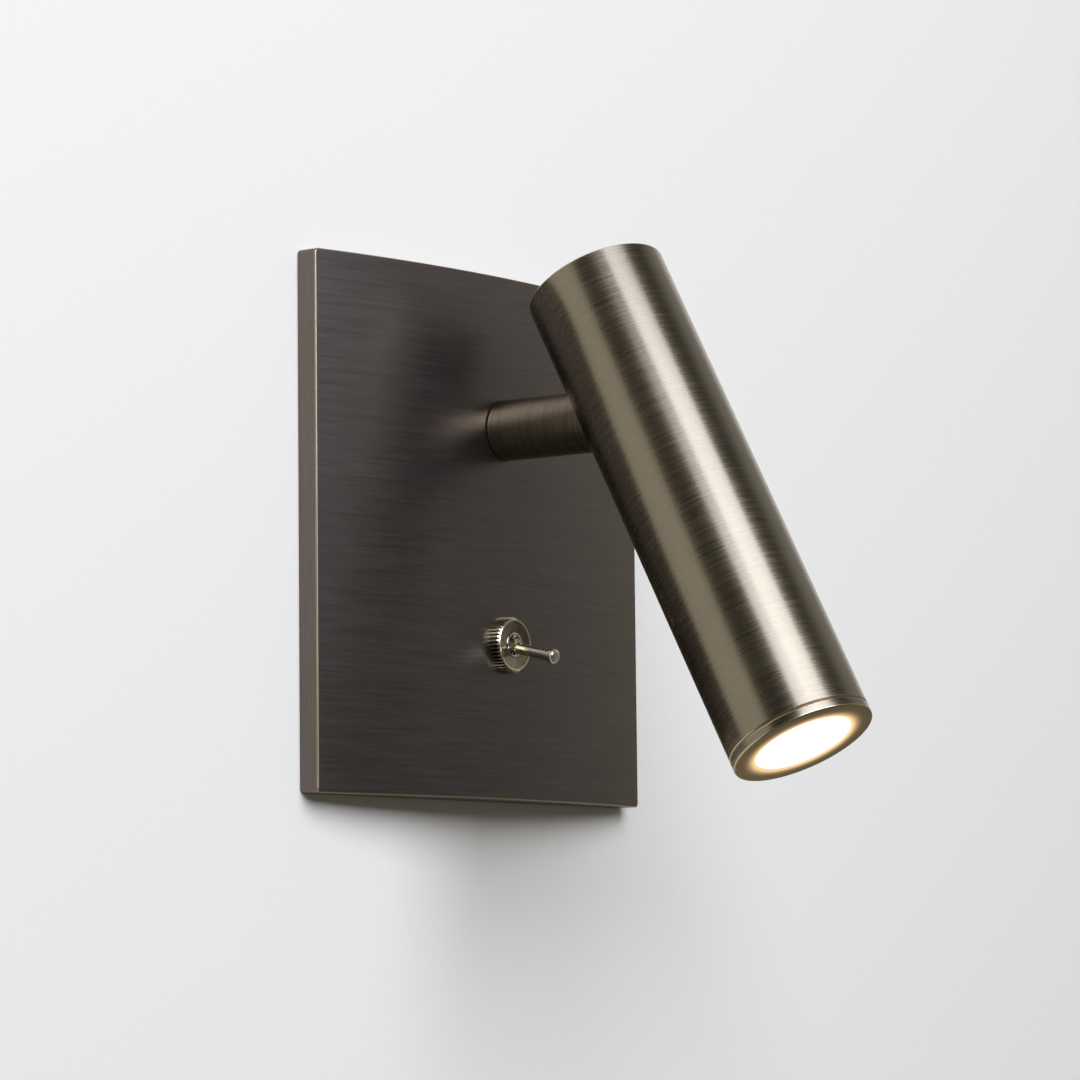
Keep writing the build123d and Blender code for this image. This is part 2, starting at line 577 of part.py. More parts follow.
def toggle_body():
    """Sealed switch body."""
    return block((-SWITCH_WIDTH / 2, SWITCH_WIDTH / 2), (SWITCH_FRONT, SWITCH_BACK),
                 (SWITCH_Z - SWITCH_HEIGHT / 2, SWITCH_Z + SWITCH_HEIGHT / 2))


def toggle_terminals():
    """Three solder lugs at the back of the switch."""
    lugs = Part()
    for place in (-1, 0, 1):
        z = SWITCH_Z + place * TERMINAL_PITCH
        lugs += block((-TERMINAL_SHEET / 2, TERMINAL_SHEET / 2), (SWITCH_BACK, TERMINAL_END),
                      (z - TERMINAL_WIDTH / 2, z + TERMINAL_WIDTH / 2))
    return lugs


def toggle_bushing():
    """Threaded bushing that the lever pivots in, with a flared mouth."""
    mouth_back = BUSHING_FRONT + BUSHING_MOUTH_DEPTH
    outline = ((BUSHING_BORE, SWITCH_FRONT), (BUSHING_RADIUS, SWITCH_FRONT), (BUSHING_RADIUS, BUSHING_FRONT),
               (BUSHING_MOUTH, BUSHING_FRONT), (BUSHING_BORE, mouth_back))
    return Pos(0, 0, SWITCH_Z) * turned_y(*outline)


def toggle_lock_washer():
    """Washer between the plate's boss and the lock nut."""
    return ring_y(LOCK_WASHER_RADIUS, BUSHING_RADIUS + FIXED_FIT, SWITCH_BOSS_BACK, LOCK_NUT_FRONT,
                  z=SWITCH_Z)


def toggle_lock_nut():
    """Hexagon nut behind the plate."""
    nut = hexagon_y(LOCK_NUT_FLATS, LOCK_NUT_FRONT, SWITCH_FRONT, SWITCH_Z)
    return nut - bar_y(BUSHING_RADIUS + FIXED_FIT, LOCK_NUT_FRONT, SWITCH_FRONT, z=SWITCH_Z)


def toggle_ring_nut():
    """Knurled round nut in front of the plate, with a dished face."""
    points = []
    for step in range(4 * RING_NUT_TEETH):
        angle = 2 * pi * step / (4 * RING_NUT_TEETH)
        radius = RING_NUT_RADIUS if step % 4 < 2 else RING_NUT_ROOT
        points.append((radius * cos(angle), radius * sin(angle)))
    rim = Plane.XZ * make_face(Polyline(*points, close=True))
    nut = Pos(0, RING_NUT_FRONT, 0) * extrude(rim, RING_NUT_THICKNESS, dir=(0, 1, 0))
    bevel_back = RING_NUT_FRONT + RING_NUT_BEVEL
    blank = turned_y((0, FRONT), (RING_NUT_RADIUS, FRONT), (RING_NUT_RADIUS, bevel_back),
                     (RING_NUT_RADIUS - RING_NUT_BEVEL, RING_NUT_FRONT), (0, RING_NUT_FRONT))
    dish = turned_y((0, RING_NUT_FRONT - CUT_PAST), (RING_NUT_DISH_RADIUS, RING_NUT_FRONT - CUT_PAST),
                    (RING_NUT_DISH_RADIUS, RING_NUT_FRONT),
                    (BUSHING_RADIUS, RING_NUT_FRONT + RING_NUT_DISH_DEPTH),
                    (0, RING_NUT_FRONT + RING_NUT_DISH_DEPTH))
    bore = bar_y(BUSHING_RADIUS + FIXED_FIT, RING_NUT_FRONT, FRONT)
    return Pos(0, 0, SWITCH_Z) * ((nut & blank) - dish - bore)


def toggle_lever():
    """Tapered lever with a rounded tip, a ball at its pivot and a short tail; drawn level."""
    tip_back = LEVER_REACH - LEVER_TIP_THICKNESS / 2
    shank = turned_y((0, 0), (LEVER_ROOT_RADIUS, 0), (LEVER_END_RADIUS, -tip_back), (0, -tip_back))
    tip = bar_y(LEVER_TIP_RADIUS, -tip_back, -tip_back - LEVER_TIP_THICKNESS)
    tip = fillet(tip.edges(), LEVER_TIP_THICKNESS * LEVER_TIP_ROUNDING)
    ball = Sphere(LEVER_BALL_RADIUS)
    tail = bar_y(LEVER_TAIL_RADIUS, 0, LEVER_TAIL)
    return Pos(0, LEVER_PIVOT_Y, SWITCH_Z) * Rot(LEVER_ANGLE, 0, 0) * (shank + tip + ball + tail)


# Swivel of the arm in the plate. The turning pieces are drawn round the arm's own axis.

def seat_washer():
    """Nylon washer in the plate's front, which the arm's end runs against."""
    return ring_y(SEAT_WASHER_RADIUS, SPINDLE_RADIUS + RUNNING_FIT, SEAT_FLOOR, ARM_BASE + RUNNING_FIT,
                  z=ARM_Z)


def rear_washer():
    """Nylon washer behind the plate's boss."""
    return ring_y(REAR_WASHER_RADIUS, SPINDLE_RADIUS + RUNNING_FIT, ARM_BOSS_BACK, REAR_WASHER_BACK, z=ARM_Z)


def swivel_spindle():
    """Hollow threaded spindle, plugged into the arm tube."""
    spindle = bar_y(ARM_BORE - FIXED_FIT, ARM_BASE, ARM_BASE - SPINDLE_PLUG_LENGTH)
    spindle += bar_y(SPINDLE_RADIUS, ARM_BASE, SPINDLE_BACK)
    spindle -= bar_y(SPINDLE_BORE, ARM_BASE - SPINDLE_PLUG_LENGTH, SPINDLE_BACK)
    return ARM_PLACE * spindle


def stop_washer():
    """Washer keyed to the spindle; its finger meets the plate's peg at each end of the swivel."""
    washer = bar_y(REAR_WASHER_RADIUS, STOP_WASHER_FRONT, STOP_WASHER_BACK)
    washer += block((-STOP_FINGER_HALF_WIDTH, STOP_FINGER_HALF_WIDTH), (STOP_WASHER_FRONT, STOP_WASHER_BACK),
                    (-STOP_FINGER_RADIUS, 0))
    washer -= bar_y(SPINDLE_RADIUS + FIXED_FIT, STOP_WASHER_FRONT, STOP_WASHER_BACK)
    return ARM_PLACE * washer


def spring_washer():
    """Conical spring washer that keeps the swivel firm."""
    inner = SPINDLE_RADIUS + FIXED_FIT
    rise = STOP_WASHER_BACK + SPRING_WASHER_RISE
    cone = turned_y((SPRING_WASHER_RADIUS, STOP_WASHER_BACK),
                    (SPRING_WASHER_RADIUS, STOP_WASHER_BACK + SPRING_WASHER_SHEET),
                    (inner, rise + SPRING_WASHER_SHEET), (inner, rise))
    return ARM_PLACE * cone


def swivel_nut():
    """Nut on the spindle."""
    nut = hexagon_y(SWIVEL_NUT_FLATS, SWIVEL_NUT_FRONT, SWIVEL_NUT_BACK)
    return ARM_PLACE * (nut - bar_y(SPINDLE_RADIUS + FIXED_FIT, SWIVEL_NUT_FRONT, SWIVEL_NUT_BACK))


def arm_tube():
    """The arm that shows."""
    tube = bar_y(ARM_RADIUS, ARM_BASE, ARM_END)
    tube = chamfer(tube.edges(), ARM_CHAMFER)
    return ARM_PLACE * (tube - bar_y(ARM_BORE, ARM_BASE, ARM_END))


def arm_knuckle():
    """Eye on the arm's end, hollow for the leads."""
    eye = bar_x(EYE_RADIUS, -EYE_HALF_WIDTH, EYE_HALF_WIDTH)
    web_half = EYE_RADIUS * KNUCKLE_WEB_SHARE
    eye += block((-EYE_HALF_WIDTH, EYE_HALF_WIDTH), (0, ARM_END_GAP), (-web_half, web_half))
    eye += bar_y(ARM_BORE - FIXED_FIT, ARM_END_GAP - CUT_PAST, ARM_END_GAP + KNUCKLE_SPIGOT)
    eye -= bar_x(PIVOT_RADIUS + RUNNING_FIT, -EYE_HALF_WIDTH, EYE_HALF_WIDTH)
    eye -= bar_y(KNUCKLE_BORE, KNUCKLE_LEAD_HOLE, ARM_END_GAP + KNUCKLE_SPIGOT)
    eye -= bar_z(KNUCKLE_BORE, -EYE_RADIUS, 0, 0, KNUCKLE_LEAD_HOLE)
    return ARM_PLACE * Pos(0, PIVOT_Y, 0) * eye


def friction_washers():
    """Fibre washers each side of the eye, with a running gap to the yoke."""
    def washer(side):
        inner = side * (EYE_HALF_WIDTH + RUNNING_FIT)
        outer = side * (EYE_HALF_WIDTH + RUNNING_FIT + FRICTION_WASHER_THICKNESS)
        disc = bar_x(FRICTION_WASHER_RADIUS, inner, outer)
        return disc - bar_x(PIVOT_RADIUS + RUNNING_FIT, inner, outer)
    return ARM_PLACE * Pos(0, PIVOT_Y, 0) * mirrored_pair(washer)


def slot_shield():
    """Curved shield on the arm that closes the head's slot from inside at every tilt."""
    low_slot = degrees(acos(HEAD_BORE / sqrt(HEAD_BORE ** 2 + SLOT_HALF_WIDTH ** 2)))
    high_slot = degrees(acos(HEAD_BORE / sqrt(HEAD_BORE ** 2 + TONGUE_BOTTOM ** 2)))
    low = -low_slot - TILT_MAX - SHIELD_OVERLAP
    high = high_slot + SHIELD_OVERLAP
    outer_arc = [(SHIELD_RADIUS * cos(radians(a)), SHIELD_RADIUS * sin(radians(a)))
                 for a in (low, (low + high) / 2, high)]
    inner = SHIELD_RADIUS - SHIELD_SHEET
    inner_arc = [(inner * cos(radians(a)), inner * sin(radians(a))) for a in (high, (low + high) / 2, low)]
    edges = ThreePointArc(*outer_arc) + Line(outer_arc[2], inner_arc[0])
    edges += ThreePointArc(*inner_arc) + Line(inner_arc[2], outer_arc[0])
    shield = extrude(Plane.YZ * make_face(edges), SHIELD_HALF_WIDTH, both=True)
    shield -= bar_y(ARM_RADIUS + FIXED_FIT, 0, SHIELD_RADIUS + CUT_PAST)
    return ARM_PLACE * Pos(0, PIVOT_Y, 0) * shield


def arm_leads():
    """Two leads through the spindle and the arm, out below the knuckle."""
    start = SPINDLE_BACK - LEAD_OVERLAP - LOOSE_FIT
    turn = PIVOT_Y + KNUCKLE_LEAD_HOLE
    def run(side):
        x = side * LEAD_X
        return lead([(x, start, 0), (x, turn, 0), (x, turn, -EYE_RADIUS)], 3 * LEAD_RADIUS)
    return ARM_PLACE * mirrored_pair(run)


# Head, drawn upright round its pivot

def head_tube():
    """Outer tube, slotted from its pivot to its top so that the arm can be slid in."""
    tube = bar_z(HEAD_RADIUS, TUBE_BOTTOM, HEAD_TOP)
    tube = chamfer(tube.edges().sort_by(Axis.Z)[-1], HEAD_CHAMFER)
    tube -= bar_z(HEAD_BORE, TUBE_BOTTOM, HEAD_TOP)
    tube -= bar_z(HEAD_BORE + CAP_LEDGE, CAP_TOP - CAP_FLANGE, HEAD_TOP)
    tube -= bar_y(SLOT_HALF_WIDTH, 0, HEAD_RADIUS)
    tube -= block((-SLOT_HALF_WIDTH, SLOT_HALF_WIDTH), (0, HEAD_RADIUS), (0, HEAD_TOP))
    return HEAD_PLACE * tube


def top_cap():
    """Cap set into the tube's top, with a tongue that fills the slot above the arm."""
    cap = bar_z(HEAD_FIT, CAP_BOTTOM, CAP_TOP)
    cap += bar_z(HEAD_BORE + CAP_LEDGE - RUNNING_FIT, CAP_TOP - CAP_FLANGE, CAP_TOP)
    tongue_half = SLOT_HALF_WIDTH - RUNNING_FIT
    tongue = ring_z(HEAD_RADIUS, HEAD_RADIUS - CAP_TONGUE, TONGUE_BOTTOM, HEAD_TOP - HEAD_CHAMFER)
    cap += tongue & block((-tongue_half, tongue_half), (0, HEAD_RADIUS), (TONGUE_BOTTOM, HEAD_TOP))
    for side in (-1, 1):
        cap -= screw_hole_with_sink(side * PILLAR_X)
    return HEAD_PLACE * cap


def screw_hole_with_sink(x):
    """The space for one of the cap's countersunk screws."""
    radius = CAP_SCREW_RADIUS + RUNNING_FIT
    sink_bottom = CAP_TOP - CAP_SCREW_HEAD
    hole = bar_z(radius, CAP_BOTTOM, CAP_TOP, x)
    sink = turned_z((0, sink_bottom), (radius, sink_bottom), (CAP_SCREW_HEAD_RADIUS + RUNNING_FIT, CAP_TOP),
                    (0, CAP_TOP))
    return hole + Pos(x, 0, 0) * sink


def cap_screws():
    """Two countersunk screws through the cap into the yoke's pillars."""
    def screw(side):
        body = turned_z((0, CAP_TOP - CAP_SCREW_LENGTH), (CAP_SCREW_RADIUS, CAP_TOP - CAP_SCREW_LENGTH),
                        (CAP_SCREW_RADIUS, CAP_TOP - CAP_SCREW_HEAD), (CAP_SCREW_HEAD_RADIUS, CAP_TOP),
                        (0, CAP_TOP))
        slot_half = CAP_SCREW_HEAD_RADIUS * SCREW_SLOT / 2
        slot = block((-CAP_SCREW_HEAD_RADIUS, CAP_SCREW_HEAD_RADIUS), (-slot_half, slot_half),
                     (CAP_TOP - CAP_SCREW_HEAD / 2, CAP_TOP))
        return Pos(side * PILLAR_X, 0, 0) * (body - slot)
    return HEAD_PLACE * mirrored_pair(screw)


def pivot_yoke():
    """Carrier that holds the pivot screw and stands between the cap and the heat sink."""
    yoke = bar_z(HEAD_FIT, YOKE_BOTTOM, YOKE_FLOOR_TOP)
    yoke -= bar_z(HEAD_LEAD_HOLE, YOKE_BOTTOM, YOKE_FLOOR_TOP, 0, HEAD_LEAD_Y)
    depth = (-YOKE_COLUMN_HALF_DEPTH, YOKE_COLUMN_HALF_DEPTH)
    for side in (-1, 1):
        column = block((side * YOKE_COLUMN_X, side * HEAD_BORE), depth, (YOKE_FLOOR_TOP, 0))
        column += bar_x(YOKE_COLUMN_HALF_DEPTH, side * YOKE_COLUMN_X, side * HEAD_BORE)
        column += bar_x(YOKE_BOSS_RADIUS, side * YOKE_GAP, side * HEAD_BORE)
        column &= bar_z(HEAD_FIT, YOKE_FLOOR_TOP, CAP_BOTTOM)
        column -= bar_x(PIVOT_RADIUS + FIXED_FIT, side * YOKE_GAP, side * HEAD_BORE)
        if side > 0:
            column -= bar_x(PIVOT_HEAD_RADIUS + FIXED_FIT, PIVOT_HEAD_START, HEAD_BORE)
        column += bar_z(PILLAR_RADIUS, YOKE_BOSS_RADIUS, CAP_BOTTOM, side * PILLAR_X)
        column -= bar_z(CAP_SCREW_RADIUS + FIXED_FIT, CAP_TOP - CAP_SCREW_LENGTH - LOOSE_FIT, CAP_BOTTOM,
                        side * PILLAR_X)
        yoke += column
    return HEAD_PLACE * yoke


def pivot_screw():
    """Shouldered screw across the yoke that the eye turns on."""
    head_end = PIVOT_HEAD_START + PIVOT_HEAD_THICKNESS
    screw = bar_x(PIVOT_HEAD_RADIUS, PIVOT_HEAD_START, head_end)
    slot_half = PIVOT_HEAD_RADIUS * SCREW_SLOT / 2
    screw -= block((head_end - PIVOT_HEAD_THICKNESS / 2, head_end), (-PIVOT_HEAD_RADIUS, PIVOT_HEAD_RADIUS),
                   (-slot_half, slot_half))
    return HEAD_PLACE * (screw + bar_x(PIVOT_RADIUS, -head_end, PIVOT_HEAD_START))


def heat_sink():
    """Finned heat sink under the yoke, with a flat base for the board."""
    radius = HEAD_FIT - RUNNING_FIT
    base_top = SINK_BOTTOM + SINK_BASE
    sink = bar_z(radius, SINK_BOTTOM, base_top)
    sink += bar_z(SINK_CORE_RADIUS, base_top, YOKE_BOTTOM)
    fin = block((0, radius), (-SINK_FIN_THICKNESS / 2, SINK_FIN_THICKNESS / 2), (base_top, YOKE_BOTTOM))
    fin &= bar_z(radius, base_top, YOKE_BOTTOM)
    for number in range(SINK_FINS):
        sink += Rot(0, 0, (number + 0.5) * 360 / SINK_FINS + 90) * fin
    sink -= bar_z(HEAD_LEAD_HOLE, SINK_BOTTOM, base_top, 0, HEAD_LEAD_Y)
    sink -= bar_z(PAD_RADIUS, SINK_BOTTOM, SINK_BOTTOM + PAD_THICKNESS)
    for side in (-1, 1):
        screw_top = BOARD_FRONT + BOARD_SCREW_LENGTH
        sink -= bar_z(BOARD_SCREW_RADIUS + FIXED_FIT, SINK_BOTTOM, screw_top, side * BOARD_SCREW_X)
    return HEAD_PLACE * sink


def thermal_pad():
    """Soft pad between the board and the heat sink, in a shallow pocket."""
    return HEAD_PLACE * bar_z(PAD_RADIUS - FIXED_FIT, SINK_BOTTOM, SINK_BOTTOM + PAD_THICKNESS)


def led_board():
    """Metal-cored round board."""
    board = bar_z(BOARD_RADIUS, BOARD_FRONT, SINK_BOTTOM)
    for side in (-1, 1):
        board -= bar_z(BOARD_SCREW_RADIUS + FIXED_FIT, BOARD_FRONT, SINK_BOTTOM, side * BOARD_SCREW_X)
    return HEAD_PLACE * board


def board_screws():
    """Two screws that hold the board to the heat sink."""
    def screw(side):
        x = side * BOARD_SCREW_X
        shank_top = BOARD_FRONT + BOARD_SCREW_LENGTH - LOOSE_FIT
        head = bar_z(BOARD_SCREW_HEAD_RADIUS, BOARD_FRONT - BOARD_SCREW_HEAD, BOARD_FRONT, x)
        return head + bar_z(BOARD_SCREW_RADIUS, BOARD_FRONT, shank_top, x)
    return HEAD_PLACE * mirrored_pair(screw)


def led_emitter():
    """Light emitting disc with its phosphor layer."""
    base_front = BOARD_FRONT - EMITTER_THICKNESS
    emitter = bar_z(EMITTER_RADIUS, base_front, BOARD_FRONT)
    return HEAD_PLACE * (emitter + bar_z(PHOSPHOR_RADIUS, base_front - PHOSPHOR_THICKNESS, base_front))


def reflector():
    """Conical reflector from the board to the lens."""
    rim_bottom = GASKET_TOP
    rim_top = rim_bottom + REFLECTOR_RIM
    mouth = LENS_FLANGE_RADIUS - GASKET_RADIAL
    neck_outer = REFLECTOR_NECK_RADIUS + REFLECTOR_WALL
    foot_top = BOARD_FRONT - BOARD_SCREW_HEAD
    cone = turned_z((REFLECTOR_NECK_RADIUS, BOARD_FRONT), (neck_outer, BOARD_FRONT), (neck_outer, foot_top),
                    (mouth + REFLECTOR_WALL, rim_top), (LENS_FLANGE_RADIUS, rim_top),
                    (LENS_FLANGE_RADIUS, rim_bottom), (mouth, rim_bottom), (REFLECTOR_NECK_RADIUS, foot_top))
    return HEAD_PLACE * cone


def lens_gasket():
    """Flat seal between the reflector's rim and the lens."""
    return HEAD_PLACE * ring_z(LENS_FLANGE_RADIUS, LENS_FLANGE_RADIUS - GASKET_RADIAL, LENS_TOP, GASKET_TOP)


def diffuser_lens():
    """Stepped lens whose face is flush with the bezel."""
    face = bar_z(LENS_RADIUS - FIXED_FIT, HEAD_BOTTOM, LIP_TOP)
    return HEAD_PLACE * (face + bar_z(LENS_FLANGE_RADIUS, LIP_TOP, LENS_TOP))


def bezel_ring():
    """Ring screwed into the tube's end, with a lip that holds the lens."""
    spigot_top = BEZEL_TOP + BEZEL_GROOVE + BEZEL_SPIGOT
    bezel = turned_z((LENS_RADIUS, HEAD_BOTTOM), (HEAD_RADIUS - HEAD_CHAMFER, HEAD_BOTTOM),
                     (HEAD_RADIUS, HEAD_BOTTOM + HEAD_CHAMFER), (HEAD_RADIUS, BEZEL_TOP),
                     (HEAD_FIT, BEZEL_TOP), (HEAD_FIT, spigot_top), (SPIGOT_BORE, spigot_top),
                     (SPIGOT_BORE, LIP_TOP), (LENS_RADIUS, LIP_TOP))
    return HEAD_PLACE * bezel


def head_leads():
    """Two leads from the yoke's floor, between the fins, to the board."""
    def run(side):
        return bar_z(LEAD_RADIUS, SINK_BOTTOM, YOKE_FLOOR_TOP, side * LEAD_X, HEAD_LEAD_Y)
    return HEAD_PLACE * mirrored_pair(run)


PIECES = (
    cover_plate, mounting_bracket, cover_grub_screw, cable_grommet,
    terminal_block, terminal_screws, earth_stud, earth_nut, link_leads,
    driver_case, driver_lid, driver_board, driver_components, driver_screws,
    toggle_body, toggle_terminals, toggle_bushing, toggle_lock_washer, toggle_lock_nut,
    toggle_ring_nut, toggle_lever, switch_leads, plate_leads,
    seat_washer, rear_washer, swivel_spindle, stop_washer, spring_washer, swivel_nut,
    arm_tube, arm_knuckle, friction_washers, slot_shield, arm_leads,
    head_tube, top_cap, cap_screws, pivot_yoke, pivot_screw, heat_sink, thermal_pad,
    led_board, board_screws, led_emitter, reflector, lens_gasket, diffuser_lens, bezel_ring,
    head_leads,
)

os.makedirs("parts", exist_ok=True)
for piece in PIECES:
    export_step(piece(), f"parts/{piece.__name__}.step")
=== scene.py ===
"""Bedside wall reading lamp: a bowed bronze plate, a short swivelling arm, a slim tilting head
with a lit lens, and a small toggle in a knurled ring. Sizes are in millimetres and become metres
in each mesh. The pieces here have the sizes and places of the solids that they stand for."""

import json
from math import asin, atan2, cos, pi, radians, sin, tan

import bmesh
import bpy
from mathutils import Matrix, Vector


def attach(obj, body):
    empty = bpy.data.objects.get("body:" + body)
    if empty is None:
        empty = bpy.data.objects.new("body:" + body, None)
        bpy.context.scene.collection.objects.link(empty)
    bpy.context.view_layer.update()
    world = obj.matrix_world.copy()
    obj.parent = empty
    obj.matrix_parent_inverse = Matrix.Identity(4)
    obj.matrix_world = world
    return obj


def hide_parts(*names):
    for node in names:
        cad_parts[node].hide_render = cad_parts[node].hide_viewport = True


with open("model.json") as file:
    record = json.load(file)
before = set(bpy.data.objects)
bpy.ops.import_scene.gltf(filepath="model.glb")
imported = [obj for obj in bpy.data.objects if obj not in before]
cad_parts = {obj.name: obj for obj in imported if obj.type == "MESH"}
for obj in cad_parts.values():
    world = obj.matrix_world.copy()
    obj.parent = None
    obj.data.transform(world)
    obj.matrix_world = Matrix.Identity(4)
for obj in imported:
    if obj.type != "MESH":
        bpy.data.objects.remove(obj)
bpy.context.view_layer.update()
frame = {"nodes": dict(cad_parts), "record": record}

MM = 0.001

# Plate
PLATE_HALF = 65.0
PLATE_EDGE = 5.4            # its depth at the left and right sides
PLATE_BULGE = 7.1           # how much further out its middle stands
PLATE_WALL = 2.0
PLATE_CORNER = 1.2
PLATE_CHAMFER = 0.3
FRONT = -(PLATE_EDGE + PLATE_BULGE)
CAVITY_HALF = PLATE_HALF - PLATE_WALL
CAVITY_CORNER = 0.3

# Inside the plate
ARM_BOSS_RADIUS = 14.0
ARM_BOSS_BACK = -7.0
SWITCH_BOSS_RADIUS = 9.0
SWITCH_BOSS_BACK = -8.8
SEAT_RADIUS = 6.55          # the recess for the washer that the arm turns on
SEAT_DEPTH = 1.0
SPINDLE_HOLE = 5.05
GRUB_Y = -5.5
GRUB_HOLE = 1.52
GRUB_PAD_HALF = 4.0
GRUB_PAD_TOP = -60.5
HOOK_X = 40.0
HOOK_Y = -3.6
HOOK_RADIUS = 1.4
HOOK_TIP = 57.0
PEG_RADIUS = 1.0
PEG_ABOVE_ARM = 11.5
PEG_ROOT = -8.0
PEG_TIP = -4.4

# Arm
ARM_Z = 26.5
ARM_RADIUS = 7.6
ARM_BORE = 6.6
ARM_BASE = -12.6
ARM_END = -47.1
SWIVEL = radians(2.2)

# Head, upright round its pivot
PIVOT_Y = -58.1
TILT = radians(-28.0)
HEAD_RADIUS = 17.6
HEAD_BORE = 16.1
HEAD_TOP = 38.6
CAP_LEDGE = 36.8            # where the top cap rests
CAP_LEDGE_WIDTH = 0.85
TUBE_BOTTOM = -89.9
HEAD_BOTTOM = -92.5
SLOT_HALF = 7.9

# Bezel and lens
BEZEL_TOP = -90.3
GROOVE_RADIUS = 17.2
NECK_RADIUS = 16.05
NECK_BORE = 14.7
NECK_TOP = -83.9
LENS_RADIUS = 12.18
LENS_INSET = 0.12
FLANGE_RADIUS = 14.6
FLANGE_FRONT = -91.2
FLANGE_BACK = -89.6

# Toggle
SWITCH_Z = -27.0
NUT_FRONT = -15.1
NUT_RADIUS = 6.9
NUT_ROOT = 6.45
NUT_TEETH = 44
NUT_BEVEL = 0.55
DISH_RADIUS = 5.85
DISH_DEPTH = 0.35
RIM_RADIUS = 6.0
RIM_STEP = 0.04
BUSHING_RADIUS = 3.175
BUSHING_BORE = 2.0
BUSHING_BACK = -6.2
BUSHING_FRONT = -15.0
MOUTH_RADIUS = 2.5
MOUTH_BACK = -13.3
LEVER_PIVOT_Y = -11.8
LEVER_ANGLE = radians(13.0)
LEVER_BALL = 1.95
LEVER_TAIL = 3.6
TIP_END = -16.2
TIP_START = -13.8
TIP_RADIUS = 1.8
TIP_ROUNDING = 0.8

FIT = 0.02                  # between a piece and the hole that it fills

ARM_PLACE = Matrix.Translation((0, 0, ARM_Z * MM)) @ Matrix.Rotation(SWIVEL, 4, "Y")
HEAD_PLACE = ARM_PLACE @ Matrix.Translation((0, PIVOT_Y * MM, 0)) @ Matrix.Rotation(TILT, 4, "X")
SWITCH_PLACE = Matrix.Translation((0, 0, SWITCH_Z * MM))
LEVER_PLACE = (Matrix.Translation((0, LEVER_PIVOT_Y * MM, SWITCH_Z * MM))
               @ Matrix.Rotation(LEVER_ANGLE, 4, "X"))
ALONG_Y = Matrix.Rotation(-pi / 2, 4, "X")      # stands a piece turned about Z along Y


# Node trees

class Wire:
    """An output socket; arithmetic on it adds Math nodes to its tree."""

    def __init__(self, graph, socket):
        self.graph = graph
        self.socket = socket

    def maths(self, operation, *values):
        return self.graph.node("ShaderNodeMath", {"operation": operation}, values)

    def larger(self, other):
        return self.maths("MAXIMUM", self, other)

    def __add__(self, other):
        return self.maths("ADD", self, other)

    def __sub__(self, other):
        return self.maths("SUBTRACT", self, other)

    def __rsub__(self, other):
        return self.maths("SUBTRACT", other, self)

    def __mul__(self, other):
        return self.maths("MULTIPLY", self, other)

    def __truediv__(self, other):
        return self.maths("DIVIDE", self, other)

    def __pow__(self, other):
        return self.maths("POWER", self, other)

    def __abs__(self):
        return self.maths("ABSOLUTE", self)

    def __lt__(self, other):
        return self.maths("LESS_THAN", self, other)

    __radd__ = __add__
    __rmul__ = __mul__


class Graph:
    """A node tree that is filled from code."""

    def __init__(self, tree):
        self.tree = tree
        tree.nodes.clear()

    def node(self, kind, settings=None, sockets=(), output=0):
        """Adds a node with its settings and its sockets, each a number or another node's wire."""
        made = self.tree.nodes.new(kind)
        for name, value in (settings or {}).items():
            setattr(made, name, value)
        for key, value in sockets.items() if isinstance(sockets, dict) else enumerate(sockets):
            if isinstance(value, Wire):
                self.tree.links.new(value.socket, made.inputs[key])
            else:
                made.inputs[key].default_value = value
        return Wire(self, made.outputs[output]) if made.outputs else made

    def blend(self, factor, first, second):
        """A colour between two colours."""
        return self.node("ShaderNodeMix", {"data_type": "RGBA"},
                         {0: factor, 6: first, 7: second}, 2)

    def choose(self, factor, first, second):
        """A vector between two vectors."""
        return self.node("ShaderNodeMix", {"data_type": "VECTOR"},
                         {0: factor, 4: first, 5: second}, 1)

    def ramp(self, value, low, high, start=0.0, end=1.0):
        """start at low and below, end at high and above."""
        return self.node("ShaderNodeMapRange", {"interpolation_type": "SMOOTHSTEP"},
                         {0: value, 1: low, 2: high, 3: start, 4: end})

    def parts(self, vector):
        """The X, Y and Z of a vector."""
        split = self.node("ShaderNodeSeparateXYZ", None, (vector,))
        return [Wire(self, socket) for socket in split.socket.node.outputs]

    def noise(self, vector, frequency, detail=2.0):
        """Noise whose frequency, per metre, differs along each axis."""
        stretched = self.node("ShaderNodeVectorMath", {"operation": "MULTIPLY"},
                              (vector, frequency))
        return self.node("ShaderNodeTexNoise", None,
                         {"Vector": stretched, "Scale": 1.0, "Detail": detail})


class Finish(Graph):
    """A material, with its place on the piece that it is made for and the way that it faces."""

    def __init__(self, name, place=Matrix()):
        self.material = bpy.data.materials.new(name)
        self.material.use_nodes = True
        super().__init__(self.material.node_tree)
        self.facing = self.node("ShaderNodeTexCoord", None, output="Normal")
        where = Wire(self, self.facing.socket.node.outputs["Object"])
        self.place = self.node("ShaderNodeMapping", {"vector_type": "TEXTURE"},
                               {"Vector": where, "Location": place.to_translation(),
                                "Rotation": place.to_euler()})

    def surface(self, colour, roughness, height=None, depth=0.0, **constants):
        """Ends the tree in a Principled shader."""
        sockets = {"Base Color": colour, "Roughness": roughness}
        if height is not None:
            sockets["Normal"] = self.node("ShaderNodeBump", None,
                                          {"Strength": 1.0, "Distance": depth, "Height": height})
        for name, value in constants.items():
            sockets[name.replace("_", " ").title().replace("Ior", "IOR")] = value
        shader = self.node("ShaderNodeBsdfPrincipled", None, sockets)
        self.node("ShaderNodeOutputMaterial", None, {"Surface": shader})
        return self.material


def paint(red, green, blue):
    """A colour socket's four numbers."""
    return (red, green, blue, 1.0)


# Finishes of the pieces that show

